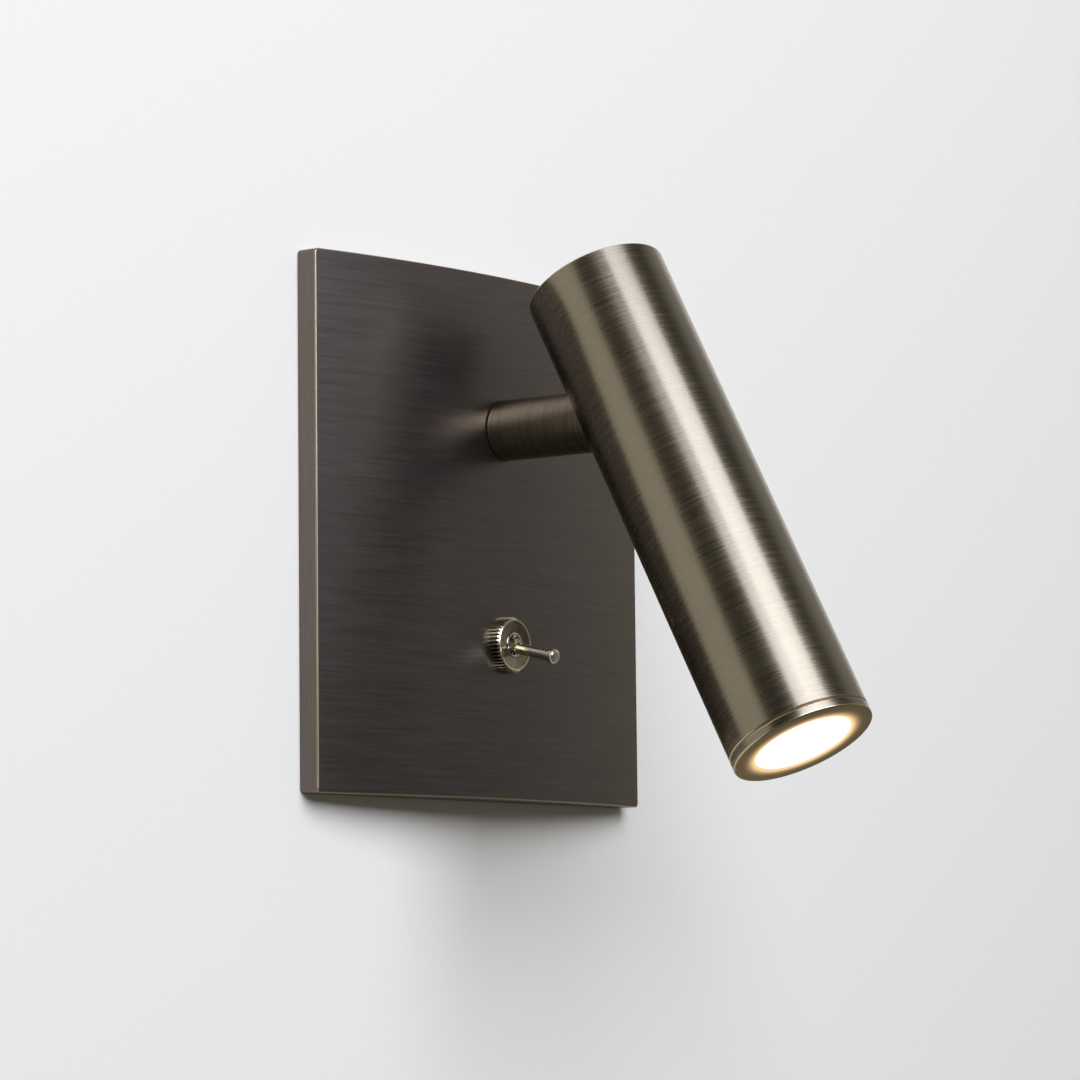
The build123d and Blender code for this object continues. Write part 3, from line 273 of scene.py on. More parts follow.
HAIRLINE = 3000.0           # brushed lines per metre, across the brushing
STREAK = 900.0
LENGTHWISE = 60.0
PATCH = (110.0, 12.0)       # across the brushing and along it
HAIR_DEPTH = 0.000010
BRONZE_TINT = paint(0.78, 0.70, 0.58)

HEAD_DARK = paint(0.150, 0.117, 0.060)
HEAD_LIGHT = paint(0.203, 0.161, 0.089)
# The colour of the head's painted highlight lines.
HEAD_HIGHLIGHT_LINE = paint(0.56, 0.44, 0.24)
HEAD_ROUGHNESS = 0.27
HEAD_COAT = 0.85
HEAD_COAT_IOR = 1.7


def brushed(finish, position, along):
    """The tone, 0 to 1, and the height of brushing that runs along the axes named."""
    def layer(fine, slow, detail):
        return finish.noise(position, [slow if axis in along else fine for axis in "xyz"], detail)
    hairs = layer(HAIRLINE, LENGTHWISE, 1.0)
    streaks = layer(STREAK, LENGTHWISE, 2.0)
    patches = layer(*PATCH, 2.0)
    return finish.ramp(hairs * 0.58 + streaks * 0.27 + patches * 0.15, 0.25, 0.75), hairs


def bronze(finish, dark, light, brushing, edge, highlight_mask, roughness, coat=0.6, **constants):
    """Brushed bronze plating, painted paler in the edge colour along the lines of a mask: painted
    highlights.
    """
    tone, height = brushing
    # The mask's lines take the edge colour: these are painted highlights.
    colour = finish.blend(highlight_mask, finish.blend(tone, dark, light), edge)
    rough = finish.ramp(tone, 0.0, 1.0, roughness - 0.03, roughness + 0.03)
    return finish.surface(colour, rough, height, HAIR_DEPTH, metallic=1.0, coat_weight=coat,
                          coat_roughness=0.2, specular_tint=BRONZE_TINT, **constants)


def line_mask(finish, value, centre, half):
    """1 at a line across a coordinate, in millimetres, fading to 0 at its sides."""
    return finish.ramp(abs(value - centre * MM), half * 0.6 * MM, half * MM, 1.0, 0.0)


def plate_bronze():
    """Brushed level, but upright on the two sides. Painted darker on the sides and darker, greyer
    underneath as painted shade, lighter towards the top as a painted reflection, and with a
    painted highlight along its front chamfer.
    """
    finish = Finish("plate_bronze_brushed")
    x, y, z = finish.parts(finish.place)
    facing_x, facing_y, facing_z = finish.parts(finish.facing)
    side = finish.ramp(abs(facing_x), 0.80, 0.90)
    under = finish.ramp(facing_z, -0.95, -0.80, 1.0, 0.0)
    forward = finish.ramp(facing_y, -0.40, -0.15, 1.0, 0.0)
    turned_up = finish.node("ShaderNodeCombineXYZ", None, (z, x, y))
    tone, height = brushed(finish, finish.choose(side, finish.place, turned_up), "xy")
    chamfer = PLATE_HALF - PLATE_CHAMFER
    outermost = finish.ramp(abs(x).larger(abs(z)), (chamfer - 0.04) * MM, (chamfer + 0.08) * MM)
    # A painted highlight along the front chamfer, in the edge colour.
    rim_highlight = outermost * finish.ramp(y, -5.1 * MM, -5.0 * MM, 0.75, 0.0) * side.larger(forward)
    # Lighter towards the top: a painted reflection.
    upper = finish.ramp(z, -75.0 * MM, 75.0 * MM, 0.0, 0.4)
    # The sides are painted darker than the front: painted shade.
    dark = finish.blend(side, paint(0.150, 0.129, 0.112), paint(0.126, 0.105, 0.090))
    light = finish.blend(side, paint(0.226, 0.193, 0.168), paint(0.188, 0.156, 0.136))
    # Underneath, the bottom face is painted a darker, greyer colour: painted shade.
    dark = finish.blend(under, dark, paint(0.104, 0.104, 0.116))
    light = finish.blend(under, light, paint(0.156, 0.156, 0.174))
    return bronze(finish, dark, light, (tone * 0.6 + upper, height), paint(0.52, 0.41, 0.23),
                  rim_highlight, roughness=0.35, coat=0.10)


def arm_bronze():
    """Brushed round the arm, painted paler towards the plate and darker towards the head as
    painted shade, with a painted highlight ring at its base.
    """
    finish = Finish("arm_bronze_brushed", ARM_PLACE)
    y = finish.parts(finish.place)[1]
    tone, height = brushed(finish, finish.place, "xz")
    # Paler towards the plate and darker towards the head: painted shade from the head.
    inner = finish.ramp(y, -42.0 * MM, -16.0 * MM, 0.0, 0.55)
    # The edge colour paints a highlight ring round the arm's wall end.
    return bronze(finish, paint(0.140, 0.113, 0.070), paint(0.360, 0.298, 0.192),
                  (tone * 0.45 + inner, height), paint(0.50, 0.42, 0.28),
                  line_mask(finish, y, ARM_BASE - 0.2, 0.35) * 0.8, roughness=0.30)


def fine_turned(finish):
    """The head's brushing, round its axis and shallower than the plate's."""
    tone, height = brushed(finish, finish.place, "xy")
    return tone, height * 0.27


def head_highlight_lines(finish, z):
    """Painted highlight lines at the rim at the top, and on both sides of the groove above the
    bezel, where they also paint over the groove's shade.
    """
    return (line_mask(finish, z, HEAD_TOP, 0.40)
            + line_mask(finish, z, (TUBE_BOTTOM + BEZEL_TOP) / 2, 0.50))


def head_bronze():
    """Turned bronze, with painted highlight lines at its rims."""
    finish = Finish("head_bronze_turned", HEAD_PLACE)
    z = finish.parts(finish.place)[2]
    return bronze(finish, HEAD_DARK, HEAD_LIGHT, fine_turned(finish), HEAD_HIGHLIGHT_LINE,
                  head_highlight_lines(finish, z), HEAD_ROUGHNESS, HEAD_COAT, coat_ior=HEAD_COAT_IOR)


def lit_bezel():
    """The head's bronze, with the lens's warm light painted on its lip as a glowing emission, a
    darker end face, and painted highlight lines at its rims.
    """
    finish = Finish("bezel_bronze_lit", HEAD_PLACE)
    x, y, z = finish.parts(finish.place)
    out = (x * x + y * y) ** 0.5
    lip = finish.ramp(z, (HEAD_BOTTOM + 0.05) * MM, (HEAD_BOTTOM + 0.35) * MM, 1.0, 0.0)
    near = finish.ramp(out, LENS_RADIUS * MM, 16.4 * MM, 1.0, 0.0)
    # A painted glow: the lens's light painted on the bezel as emission, though the bezel is no
    # lamp.
    glow_colour = finish.blend(near ** 3.0, paint(0.50, 0.27, 0.12), paint(1.0, 0.66, 0.34))
    painted_lens_glow = finish.blend(near ** 2.0 * lip, paint(0.0, 0.0, 0.0), glow_colour)
    # Painted highlight lines at the rims and round the end face's edge.
    edges = head_highlight_lines(finish, z) + line_mask(finish, z, HEAD_BOTTOM + 0.2, 0.22)
    # The end face is painted darker.
    dark = finish.blend(lip, HEAD_DARK, paint(0.070, 0.055, 0.038))
    light = finish.blend(lip, HEAD_LIGHT, paint(0.095, 0.075, 0.052))
    return bronze(finish, dark, light, fine_turned(finish), HEAD_HIGHLIGHT_LINE, edges, HEAD_ROUGHNESS,
                  HEAD_COAT - lip * HEAD_COAT, coat_ior=HEAD_COAT_IOR,
                  emission_color=painted_lens_glow, emission_strength=1.0)


def lit_lens():
    """Opal plastic, brightest in the middle and warmer at its rim."""
    finish = Finish("lens_opal_lit", HEAD_PLACE)
    x, y = finish.parts(finish.place)[:2]
    out = (x * x + y * y) ** 0.5
    grain = finish.noise(finish.place, (900.0, 900.0, 900.0), 2.0)
    rim = finish.ramp(out + (grain - 0.5) * 0.0002, 11.4 * MM, LENS_RADIUS * MM)
    light = finish.blend(rim, paint(1.0, 0.96, 0.88), paint(0.72, 0.50, 0.29))
    colour = finish.blend(grain, paint(0.86, 0.84, 0.80), paint(0.92, 0.90, 0.86))
    return finish.surface(colour, finish.ramp(grain, 0.3, 0.7, 0.30, 0.36), grain, 0.000004,
                          emission_color=light, emission_strength=1.7)


def turned_metal(name, place, axis, dark, light, roughness, rings=5200.0, depth=0.000004):
    """Lathe-turned metal, with fine rings round its axis and a slow change of tone."""
    finish = Finish(name, place)
    frequency = [rings if letter == axis else 90.0 for letter in "xyz"]
    fine = finish.noise(finish.place, frequency, 2.0)
    slow = finish.noise(finish.place, (160.0, 160.0, 160.0), 3.0)
    tone = finish.ramp(fine * 0.5 + slow * 0.5, 0.32, 0.68)
    return finish.surface(finish.blend(tone, dark, light),
                          finish.ramp(tone, 0.0, 1.0, roughness * 0.8, roughness * 1.25),
                          fine + slow * 0.5, depth, metallic=1.0)


def antique_brass(place):
    """Ring nut: darker in its dish, with painted shade between its teeth and a painted highlight
    on its rim, bevel and tooth tips.
    """
    finish = Finish("ring_nut_antique_brass", place)
    x, y, z = finish.parts(finish.place)
    out = (x * x + z * z) ** 0.5
    grime = finish.noise(finish.place, (700.0, 700.0, 700.0), 3.0)
    rings = finish.node("ShaderNodeCombineXYZ", None, (out, 0.0, 0.0))
    turning = finish.noise(rings, (5200.0, 1.0, 1.0), 2.0)
    # Outside the dish: a painted highlight on the rim, bevel and tooth tips, with painted shade in
    # the gaps between the teeth behind the front.
    rim_highlight = finish.ramp(out + (grime - 0.5) * 0.0002, DISH_RADIUS * MM, (DISH_RADIUS + 0.20) * MM)
    tooth = finish.ramp(out, (NUT_ROOT + 0.15) * MM, (NUT_ROOT + 0.37) * MM)
    behind = finish.ramp(y, (NUT_FRONT + 0.2) * MM, (NUT_FRONT + 0.4) * MM)
    tone = finish.ramp(grime * 0.55 + turning * 0.45, 0.3, 0.7)
    dish = finish.blend(tone, paint(0.20, 0.17, 0.10), paint(0.42, 0.36, 0.215))
    rim = finish.blend((1.0 - tooth) * behind, paint(0.80, 0.72, 0.50), paint(0.13, 0.11, 0.06))
    return finish.surface(finish.blend(rim_highlight, dish, rim), finish.ramp(tone, 0.0, 1.0, 0.17, 0.27),
                          turning + grime * 0.6, 0.000004, metallic=1.0)


def sheet_steel(name, dark, light):
    """Zinc-plated steel, faintly spangled and rolled one way."""
    finish = Finish(name)
    spangle = finish.noise(finish.place, (420.0, 420.0, 420.0), 3.0)
    rolled = finish.noise(finish.place, (60.0, 2600.0, 2600.0), 2.0)
    tone = finish.ramp(spangle * 0.6 + rolled * 0.4, 0.32, 0.68)
    return finish.surface(finish.blend(tone, dark, light), finish.ramp(tone, 0.0, 1.0, 0.32, 0.46),
                          spangle * 0.6 + rolled, 0.000005, metallic=1.0)


def moulded(name, dark, light, roughness, grain=2600.0, depth=0.000012):
    """Moulded plastic or rubber with a fine texture and slight unevenness of colour."""
    finish = Finish(name)
    texture = finish.noise(finish.place, (grain, grain, grain), 2.0)
    slow = finish.noise(finish.place, (110.0, 110.0, 110.0), 2.0)
    tone = finish.ramp(texture * 0.4 + slow * 0.6, 0.32, 0.68)
    return finish.surface(finish.blend(tone, dark, light),
                          finish.ramp(tone, 0.0, 1.0, roughness - 0.05, roughness + 0.05),
                          texture, depth)


def printed_board(name, mask, trace, place=Matrix()):
    """Solder mask over copper tracks that run at right angles."""
    finish = Finish(name, place)
    tracks = finish.node("ShaderNodeTexVoronoi", {"distance": "MANHATTAN", "feature": "F1"},
                         {"Vector": finish.place, "Scale": 340.0}, output="Distance")
    copper = finish.ramp(tracks, 0.38, 0.46)
    gloss = finish.noise(finish.place, (600.0, 600.0, 600.0), 2.0)
    return finish.surface(finish.blend(copper, mask, trace),
                          finish.ramp(gloss, 0.3, 0.7, 0.26, 0.36),
                          copper * 0.6 + gloss * 0.4, 0.00003)


def cable_skin():
    """Extruded insulation: red one side of centre and blue the other."""
    finish = Finish("lead_insulation_skin")
    x = finish.parts(finish.place)[0]
    drawn = finish.noise(finish.place, (1400.0, 90.0, 90.0), 2.0)
    side = finish.ramp(x, -0.05 * MM, 0.05 * MM)
    cold = finish.blend(drawn, paint(0.03, 0.07, 0.30), paint(0.05, 0.11, 0.40))
    hot = finish.blend(drawn, paint(0.42, 0.03, 0.025), paint(0.55, 0.06, 0.04))
    return finish.surface(finish.blend(side, cold, hot), finish.ramp(drawn, 0.3, 0.7, 0.32, 0.42),
                          drawn, 0.00001)


PLATE_FINISH = plate_bronze()
ARM_FINISH = arm_bronze()
HEAD_FINISH = head_bronze()
BEZEL_FINISH = lit_bezel()
LENS_FINISH = lit_lens()
NUT_FINISH = antique_brass(SWITCH_PLACE)
NICKEL_FINISH = turned_metal("polished_nickel", SWITCH_PLACE, "y", paint(0.56, 0.51, 0.42),
                             paint(0.78, 0.73, 0.63), 0.12, depth=0.0000015)
# The lever's nickel is the bushing's nickel painted lighter, standing for the light that the lever
# catches.
LEVER_FINISH = turned_metal("lever_nickel", LEVER_PLACE, "y", paint(0.80, 0.72, 0.57),
                            paint(0.95, 0.87, 0.71), 0.24, depth=0.0000006)

CARRIED_FINISHES = {
    "plate_bronze": PLATE_FINISH,
    "arm_bronze": ARM_FINISH,
    "head_bronze": HEAD_FINISH,
    "antique_brass": NUT_FINISH,
    "bright_nickel": NICKEL_FINISH,
    "lens_opal": LENS_FINISH,
    "zinc_steel": sheet_steel("zinc_plated_steel", paint(0.46, 0.47, 0.48),
                              paint(0.70, 0.70, 0.69)),
    "dark_screw": sheet_steel("blackened_screw", paint(0.055, 0.05, 0.045),
                              paint(0.13, 0.115, 0.10)),
    "plain_brass": turned_metal("machined_brass", Matrix(), "y", paint(0.60, 0.45, 0.20),
                                paint(0.80, 0.64, 0.34), 0.26),
    "raw_aluminium": turned_metal("machined_aluminium", HEAD_PLACE, "z", paint(0.60, 0.61, 0.62),
                                  paint(0.80, 0.80, 0.81), 0.32),
    "bright_reflector": turned_metal("reflector_mirror", HEAD_PLACE, "z", paint(0.82, 0.82, 0.83),
                                     paint(0.92, 0.92, 0.92), 0.08, 2500.0, 0.000001),
    "white_nylon": moulded("nylon", paint(0.78, 0.77, 0.71), paint(0.88, 0.87, 0.82), 0.42),
    "grey_fibre": moulded("pressed_fibre", paint(0.25, 0.24, 0.23), paint(0.42, 0.41, 0.39), 0.78,
                          5200.0, 0.00003),
    "black_rubber": moulded("soft_rubber", paint(0.018, 0.018, 0.018),
                            paint(0.045, 0.045, 0.045), 0.66, 3600.0, 0.00002),
    "terminal_plastic": moulded("terminal_nylon", paint(0.80, 0.80, 0.76),
                                paint(0.88, 0.88, 0.85), 0.36),
    "driver_plastic": moulded("driver_case_plastic", paint(0.82, 0.82, 0.80),
                              paint(0.90, 0.90, 0.88), 0.44, 1900.0, 0.00002),
    "switch_plastic": moulded("switch_case_plastic", paint(0.035, 0.065, 0.14),
                              paint(0.06, 0.10, 0.20), 0.40),
    "component_black": moulded("black_plating", paint(0.018, 0.017, 0.016),
                               paint(0.05, 0.047, 0.044), 0.48, 3000.0, 0.00001),
    "circuit_board": printed_board("green_board", paint(0.03, 0.16, 0.07),
                                   paint(0.07, 0.28, 0.12)),
    "white_board": printed_board("white_cored_board", paint(0.84, 0.84, 0.82),
                                 paint(0.70, 0.70, 0.68), HEAD_PLACE),
    "phosphor": moulded("phosphor_layer", paint(0.80, 0.62, 0.14), paint(0.92, 0.76, 0.24), 0.52,
                        4200.0),
    "lead_insulation": cable_skin(),
}

for row in frame["record"]["subparts"]:
    node = frame["nodes"][row["node"]]
    for number in range(len(node.data.materials)):
        node.material_slots[number].link = "OBJECT"
        node.material_slots[number].material = CARRIED_FINISHES[row["material_slot"]]


# Meshes

def put(name, data):
    """An object in the scene with this mesh, light or camera."""
    made = bpy.data.objects.new(name, data)
    bpy.context.scene.collection.objects.link(made)
    return made


def piece_of(name, shape, finish, place=Matrix()):
    """An object at the origin from a bmesh in millimetres, which it uses up."""
    mesh = bpy.data.meshes.new(name)
    bmesh.ops.remove_doubles(shape, verts=shape.verts, dist=0.0005)
    bmesh.ops.dissolve_degenerate(shape, edges=shape.edges, dist=0.0002)
    bmesh.ops.recalc_face_normals(shape, faces=shape.faces)
    shape.to_mesh(mesh)
    shape.free()
    mesh.transform(place @ Matrix.Scale(MM, 4))
    mesh.materials.append(finish)
    return put(name, mesh)


def settle(piece):
    """Works the modifiers into the mesh."""
    depsgraph = bpy.context.evaluated_depsgraph_get()
    mesh = bpy.data.meshes.new_from_object(piece.evaluated_get(depsgraph))
    piece.modifiers.clear()
    piece.data = mesh
    return piece


def shade(piece, crease=35.0):
    """Smooth faces with crisp creases, and flat faces kept flat beside small roundings."""
    shape = bmesh.new()
    shape.from_mesh(piece.data)
    for face in shape.faces:
        face.smooth = True
    for edge in shape.edges:
        edge.smooth = len(edge.link_faces) == 2 and edge.calc_face_angle() < radians(crease)
    shape.to_mesh(piece.data)
    shape.free()
    weighted = piece.modifiers.new("flat_faces", "WEIGHTED_NORMAL")
    weighted.keep_sharp = True
    return settle(piece)


def combine(piece, other, operation):
    """Joins other to the piece, or cuts it away, and removes it."""
    step = piece.modifiers.new("combine", "BOOLEAN")
    step.operation = operation
    step.solver = "EXACT"
    step.object = other
    settle(piece)
    bpy.data.objects.remove(other)


def arc(centre, radius, start, end, steps):
    """Points along an arc, with both of its ends."""
    return [(centre[0] + radius * cos(start + (end - start) * k / steps),
             centre[1] + radius * sin(start + (end - start) * k / steps))
            for k in range(steps + 1)]


def eased(outline, radius, steps=3):
    """An outline with its corners rounded, up to radius where their sides allow."""
    closed = outline[0][0] > 0
    points = []
    for number, place in enumerate(outline):
        if not closed and number in (0, len(outline) - 1):
            points.append(place)
            continue
        corner = Vector(place)
        back = Vector(outline[number - 1]) - corner
        on = Vector(outline[(number + 1) % len(outline)]) - corner
        half = back.angle(on) / 2
        reach = min(radius / tan(half), 0.45 * back.length, 0.45 * on.length)
        middle = (back.normalized() + on.normalized()).normalized()
        centre = corner + middle * reach / cos(half)
        first = corner + back.normalized() * reach - centre
        last = corner + on.normalized() * reach - centre
        start = atan2(first.y, first.x)
        turn = (atan2(last.y, last.x) - start + pi) % (2 * pi) - pi
        points += arc(centre, first.length, start, start + turn, steps)
    return points


def bridge(shape, first, second):
    """Faces between two closed loops that have as many points."""
    for k in range(len(first)):
        on = (k + 1) % len(first)
        shape.faces.new([first[k], first[on], second[on], second[k]])


def turned(name, outline, finish, place, steps=128):
    """A piece turned about Z from (radius, height) points; closed if it keeps off the axis."""
    shape = bmesh.new()
    rings = []
    for radius, height in outline:
        around = [2 * pi * k / steps for k in range(steps if radius > 0 else 1)]
        rings.append([shape.verts.new((radius * cos(angle), radius * sin(angle), height))
                      for angle in around])
    following = rings[1:] + ([rings[0]] if outline[0][0] > 0 else [])
    for low, high in zip(rings, following):
        for k in range(steps):
            corners = [low[k % len(low)], low[(k + 1) % len(low)],
                       high[(k + 1) % len(high)], high[k % len(high)]]
            distinct = list(dict.fromkeys(corners))
            if len(distinct) > 2:
                shape.faces.new(distinct)
    return piece_of(name, shape, finish, place)


def bar(name, radius, start, end, place, steps=96):
    """A plain round bar, to join to the plate or cut from it."""
    outline = [(0, start), (radius, start), (radius, end), (0, end)]
    return turned(name, outline, PLATE_FINISH, place, steps)


def standing_out(z):
    """The place, at a height on the plate, of something turned about Z that stands along Y."""
    return Matrix.Translation((0, 0, z * MM)) @ ALONG_Y


# Geometry Nodes trees

def shape_tree(name, inputs):
    """A tree with named inputs, its graph, and a way to read each input."""
    group = bpy.data.node_groups.new(name, "GeometryNodeTree")
    group.interface.new_socket("Geometry", in_out="INPUT", socket_type="NodeSocketGeometry")
    for label, kind, value in inputs:
        socket = group.interface.new_socket(label, in_out="INPUT", socket_type="NodeSocket" + kind)
        if value is not None:
            socket.default_value = value
    group.interface.new_socket("Geometry", in_out="OUTPUT", socket_type="NodeSocketGeometry")
    graph = Graph(group)
    start = graph.node("NodeGroupInput").socket.node
    return graph, lambda label: Wire(graph, start.outputs[label])


def end_tree(graph, shape, finish):
    """Realize Instances, Set Material and the output."""
    real = graph.node("GeometryNodeRealizeInstances", None, {"Geometry": shape})
    dressed = graph.node("GeometryNodeSetMaterial", None, {"Geometry": real, "Material": finish})
    graph.node("NodeGroupOutput", None, {"Geometry": dressed})
    return graph.tree


def run_tree(piece, group, **values):
    """Runs a tree on the piece with the named inputs, and leaves a plain mesh."""
    step = piece.modifiers.new(group.name, "NODES")
    step.node_group = group
    for item in group.interface.items_tree:
        if item.in_out == "INPUT" and item.name.replace(" ", "_") in values:
            step[item.identifier] = values[item.name.replace(" ", "_")]
    return settle(piece)


def bowing_tree():
    """Bows whatever lies in front of a limit out along an arc about a vertical axis."""
    graph, read = shape_tree("bowed_front", [
        ("Half Width", "Float", 0.05), ("Bulge", "Float", 0.005), ("Limit", "Float", 0.0),
        ("Finish", "Material", None)])
    half, bulge = read("Half Width"), read("Bulge")
    x, y = graph.parts(graph.node("GeometryNodeInputPosition"))[:2]
    radius = (half * half + bulge * bulge) / (bulge * 2.0)
    rise = (radius * radius - x * x) ** 0.5 - radius + bulge
    offset = graph.node("ShaderNodeCombineXYZ", None, {"Y": rise * -1.0})
    bowed = graph.node("GeometryNodeSetPosition", None,
                       {"Geometry": read("Geometry"), "Selection": y < read("Limit"),
                        "Offset": offset})
    return end_tree(graph, bowed, read("Finish"))


def round_tree():
    """Repeats one sector round the Z axis and welds the copies into one ring."""
    graph, read = shape_tree("repeat_round", [
        ("Count", "Int", 12), ("Weld", "Float", 0.000001), ("Finish", "Material", None)])
    points = graph.node("GeometryNodePoints", None, {"Count": read("Count")})
    step = graph.node("GeometryNodeInputIndex") * (2 * pi) / read("Count")
    turn = graph.node("FunctionNodeAxisAngleToRotation", None,
                      {"Axis": (0, 0, 1), "Angle": step})
    copies = graph.node("GeometryNodeInstanceOnPoints", None,
                        {"Points": points, "Instance": read("Geometry"), "Rotation": turn})
    real = graph.node("GeometryNodeRealizeInstances", None, {"Geometry": copies})
    ring = graph.node("GeometryNodeMergeByDistance", None,
                      {"Geometry": real, "Distance": read("Weld")})
    return end_tree(graph, ring, read("Finish"))


BOWED_FRONT = bowing_tree()
REPEAT_ROUND = round_tree()


# Plate

def plate_columns(half, corner, middle=80, steps=6):
    """(x, top edge height) across a square with rounded corners."""
    flat = half - corner
    right = arc((flat, flat), corner, pi / 2, 0, steps)[1:]
    inner = [(flat * (2 * k / middle - 1), half) for k in range(middle + 1)]
    return [(-x, z) for x, z in reversed(right)] + inner + right


def plate_ring(shape, half, corner, y):
    """One loop of the plate's outline: the top edge left to right, then the bottom edge back."""
    columns = plate_columns(half, corner)
    top = [shape.verts.new((x, y, z)) for x, z in columns]
    bottom = [shape.verts.new((x, y, -z)) for x, z in reversed(columns)]
    return top + bottom


def span(shape, ring, flip):
    """Fills a ring with upright strips."""
    count = len(ring) // 2
    for k in range(count - 1):
        strip = [ring[k], ring[k + 1], ring[-k - 2], ring[-k - 1]]
        shape.faces.new(strip[::-1] if flip else strip)


def plate_shell():
    """The hollow plate, built flat in front and then bowed by its tree."""
    shape = bmesh.new()
    rounding = 4
    rings = []
    for k in range(rounding + 1):
        angle = pi / 2 * k / rounding
        inset = PLATE_CHAMFER * (1 - sin(angle))
        depth = PLATE_CHAMFER * (1 - cos(angle))
        rings.append(plate_ring(shape, PLATE_HALF - inset, PLATE_CORNER - inset,
                                depth - PLATE_EDGE))
    rings.append(plate_ring(shape, PLATE_HALF, PLATE_CORNER, 0))
    rings.append(plate_ring(shape, CAVITY_HALF, CAVITY_CORNER, 0))
    rings.append(plate_ring(shape, CAVITY_HALF, CAVITY_CORNER, PLATE_WALL - PLATE_EDGE))
    for first, second in zip(rings, rings[1:]):
        bridge(shape, first, second)
    span(shape, rings[0], True)
    span(shape, rings[-1], False)
    plate = piece_of("bowed_plate", shape, PLATE_FINISH)
    return run_tree(plate, BOWED_FRONT, Half_Width=PLATE_HALF * MM, Bulge=PLATE_BULGE * MM,
                    Limit=-1.0 * MM, Finish=PLATE_FINISH)


def join_all(name, pieces):
    """One object from several parts of the plate that lie apart."""
    shape = bmesh.new()
    for each in pieces:
        shape.from_mesh(each.data)
        bpy.data.objects.remove(each)
    mesh = bpy.data.meshes.new(name)
    shape.to_mesh(mesh)
    shape.free()
    mesh.materials.append(PLATE_FINISH)
    return put(name, mesh)


def block(name, low, high):
    """A plain block between two corners, to join to the plate."""
    shape = bmesh.new()
    bmesh.ops.create_cube(shape, size=1.0)
    low, high = Vector(low), Vector(high)
    placed = Matrix.Translation((low + high) / 2) @ Matrix.Diagonal(high - low).to_4x4()
    bmesh.ops.transform(shape, verts=shape.verts, matrix=placed)
    return piece_of(name, shape, PLATE_FINISH)


def cover():
    """The plate with its bosses and hooks inside, bored for the arm and the switch."""
    plate = plate_shell()
    inner = FRONT + PLATE_WALL / 2
    recess = FRONT + SEAT_DEPTH
    arm_back, switch_back, ahead = -5.0, -8.0, -14.0      # clear of the metal at both ends
    swivel, switch = standing_out(ARM_Z), standing_out(SWITCH_Z)
    added = [bar("boss", ARM_BOSS_RADIUS, inner, ARM_BOSS_BACK, swivel),
             bar("boss", SWITCH_BOSS_RADIUS, inner, SWITCH_BOSS_BACK, switch),
             block("pad", (-GRUB_PAD_HALF, GRUB_Y - GRUB_PAD_HALF, -CAVITY_HALF - 1),
                   (GRUB_PAD_HALF, GRUB_Y + GRUB_PAD_HALF, GRUB_PAD_TOP))]
    for side in (-1, 1):
        hook = Matrix.Translation((side * HOOK_X * MM, HOOK_Y * MM, 0))
        added.append(bar("hook", HOOK_RADIUS, HOOK_TIP, CAVITY_HALF + 1, hook, 32))
    combine(plate, join_all("added", added), "UNION")
    peg = bar("peg", PEG_RADIUS, PEG_ROOT, PEG_TIP, standing_out(ARM_Z + PEG_ABOVE_ARM), 32)
    combine(plate, peg, "UNION")
    arm_bore = [(0, arm_back), (SPINDLE_HOLE, arm_back), (SPINDLE_HOLE, recess),
                (SEAT_RADIUS, recess), (SEAT_RADIUS, ahead), (0, ahead)]
    under = Matrix.Translation((0, GRUB_Y * MM, 0))
    bores = [turned("bore", arm_bore, PLATE_FINISH, swivel, 96),
             bar("bore", BUSHING_RADIUS + FIT, switch_back, ahead, switch),
             bar("bore", GRUB_HOLE, -PLATE_HALF - 1, GRUB_PAD_TOP + 0.5, under, 48)]
    combine(plate, join_all("bores", bores), "DIFFERENCE")
    plate.name = "bowed_plate"
    return shade(plate, 30.0)


# Arm and head

def arm():
    """A plain sleeve with eased ends."""
    outline = eased([(ARM_BORE, ARM_BASE), (ARM_RADIUS, ARM_BASE), (ARM_RADIUS, ARM_END),
                     (ARM_BORE, ARM_END)], 0.36)
    return shade(turned("arm_sleeve", outline, ARM_FINISH, ARM_PLACE @ ALONG_Y, 144))


def head():
    """The tube, slotted at its back for the arm."""
    ledge = HEAD_BORE + CAP_LEDGE_WIDTH
    outline = [(HEAD_BORE, TUBE_BOTTOM), (HEAD_RADIUS, TUBE_BOTTOM), (HEAD_RADIUS, HEAD_TOP),
               (ledge, HEAD_TOP), (ledge, CAP_LEDGE), (HEAD_BORE, CAP_LEDGE)]
    tube = turned("head_sleeve", eased(outline, 0.35), HEAD_FINISH, HEAD_PLACE, 224)
    inside, behind, above = 1.0, 22.0, 45.0
    section = arc((0, 0), SLOT_HALF, pi, 2 * pi, 40) + [(SLOT_HALF, above), (-SLOT_HALF, above)]
    shape = bmesh.new()
    near = [shape.verts.new((x, inside, z)) for x, z in section]
    far = [shape.verts.new((x, behind, z)) for x, z in section]
    shape.faces.new(near)
    shape.faces.new(far)
    bridge(shape, near, far)
    combine(tube, piece_of("slot", shape, HEAD_FINISH, HEAD_PLACE), "DIFFERENCE")
    return shade(tube, 30.0)


def bezel():
    """The end ring, with the groove above it and the neck that enters the tube."""
    groove_top = TUBE_BOTTOM - FIT
    outline = [(LENS_RADIUS + FIT, HEAD_BOTTOM), (HEAD_RADIUS, HEAD_BOTTOM),
               (HEAD_RADIUS, BEZEL_TOP), (GROOVE_RADIUS, BEZEL_TOP), (GROOVE_RADIUS, groove_top),
               (NECK_RADIUS, groove_top), (NECK_RADIUS, NECK_TOP), (NECK_BORE, NECK_TOP),
               (NECK_BORE, FLANGE_FRONT), (LENS_RADIUS + FIT, FLANGE_FRONT)]
    return shade(turned("bezel_band", eased(outline, 0.35), BEZEL_FINISH, HEAD_PLACE, 192))


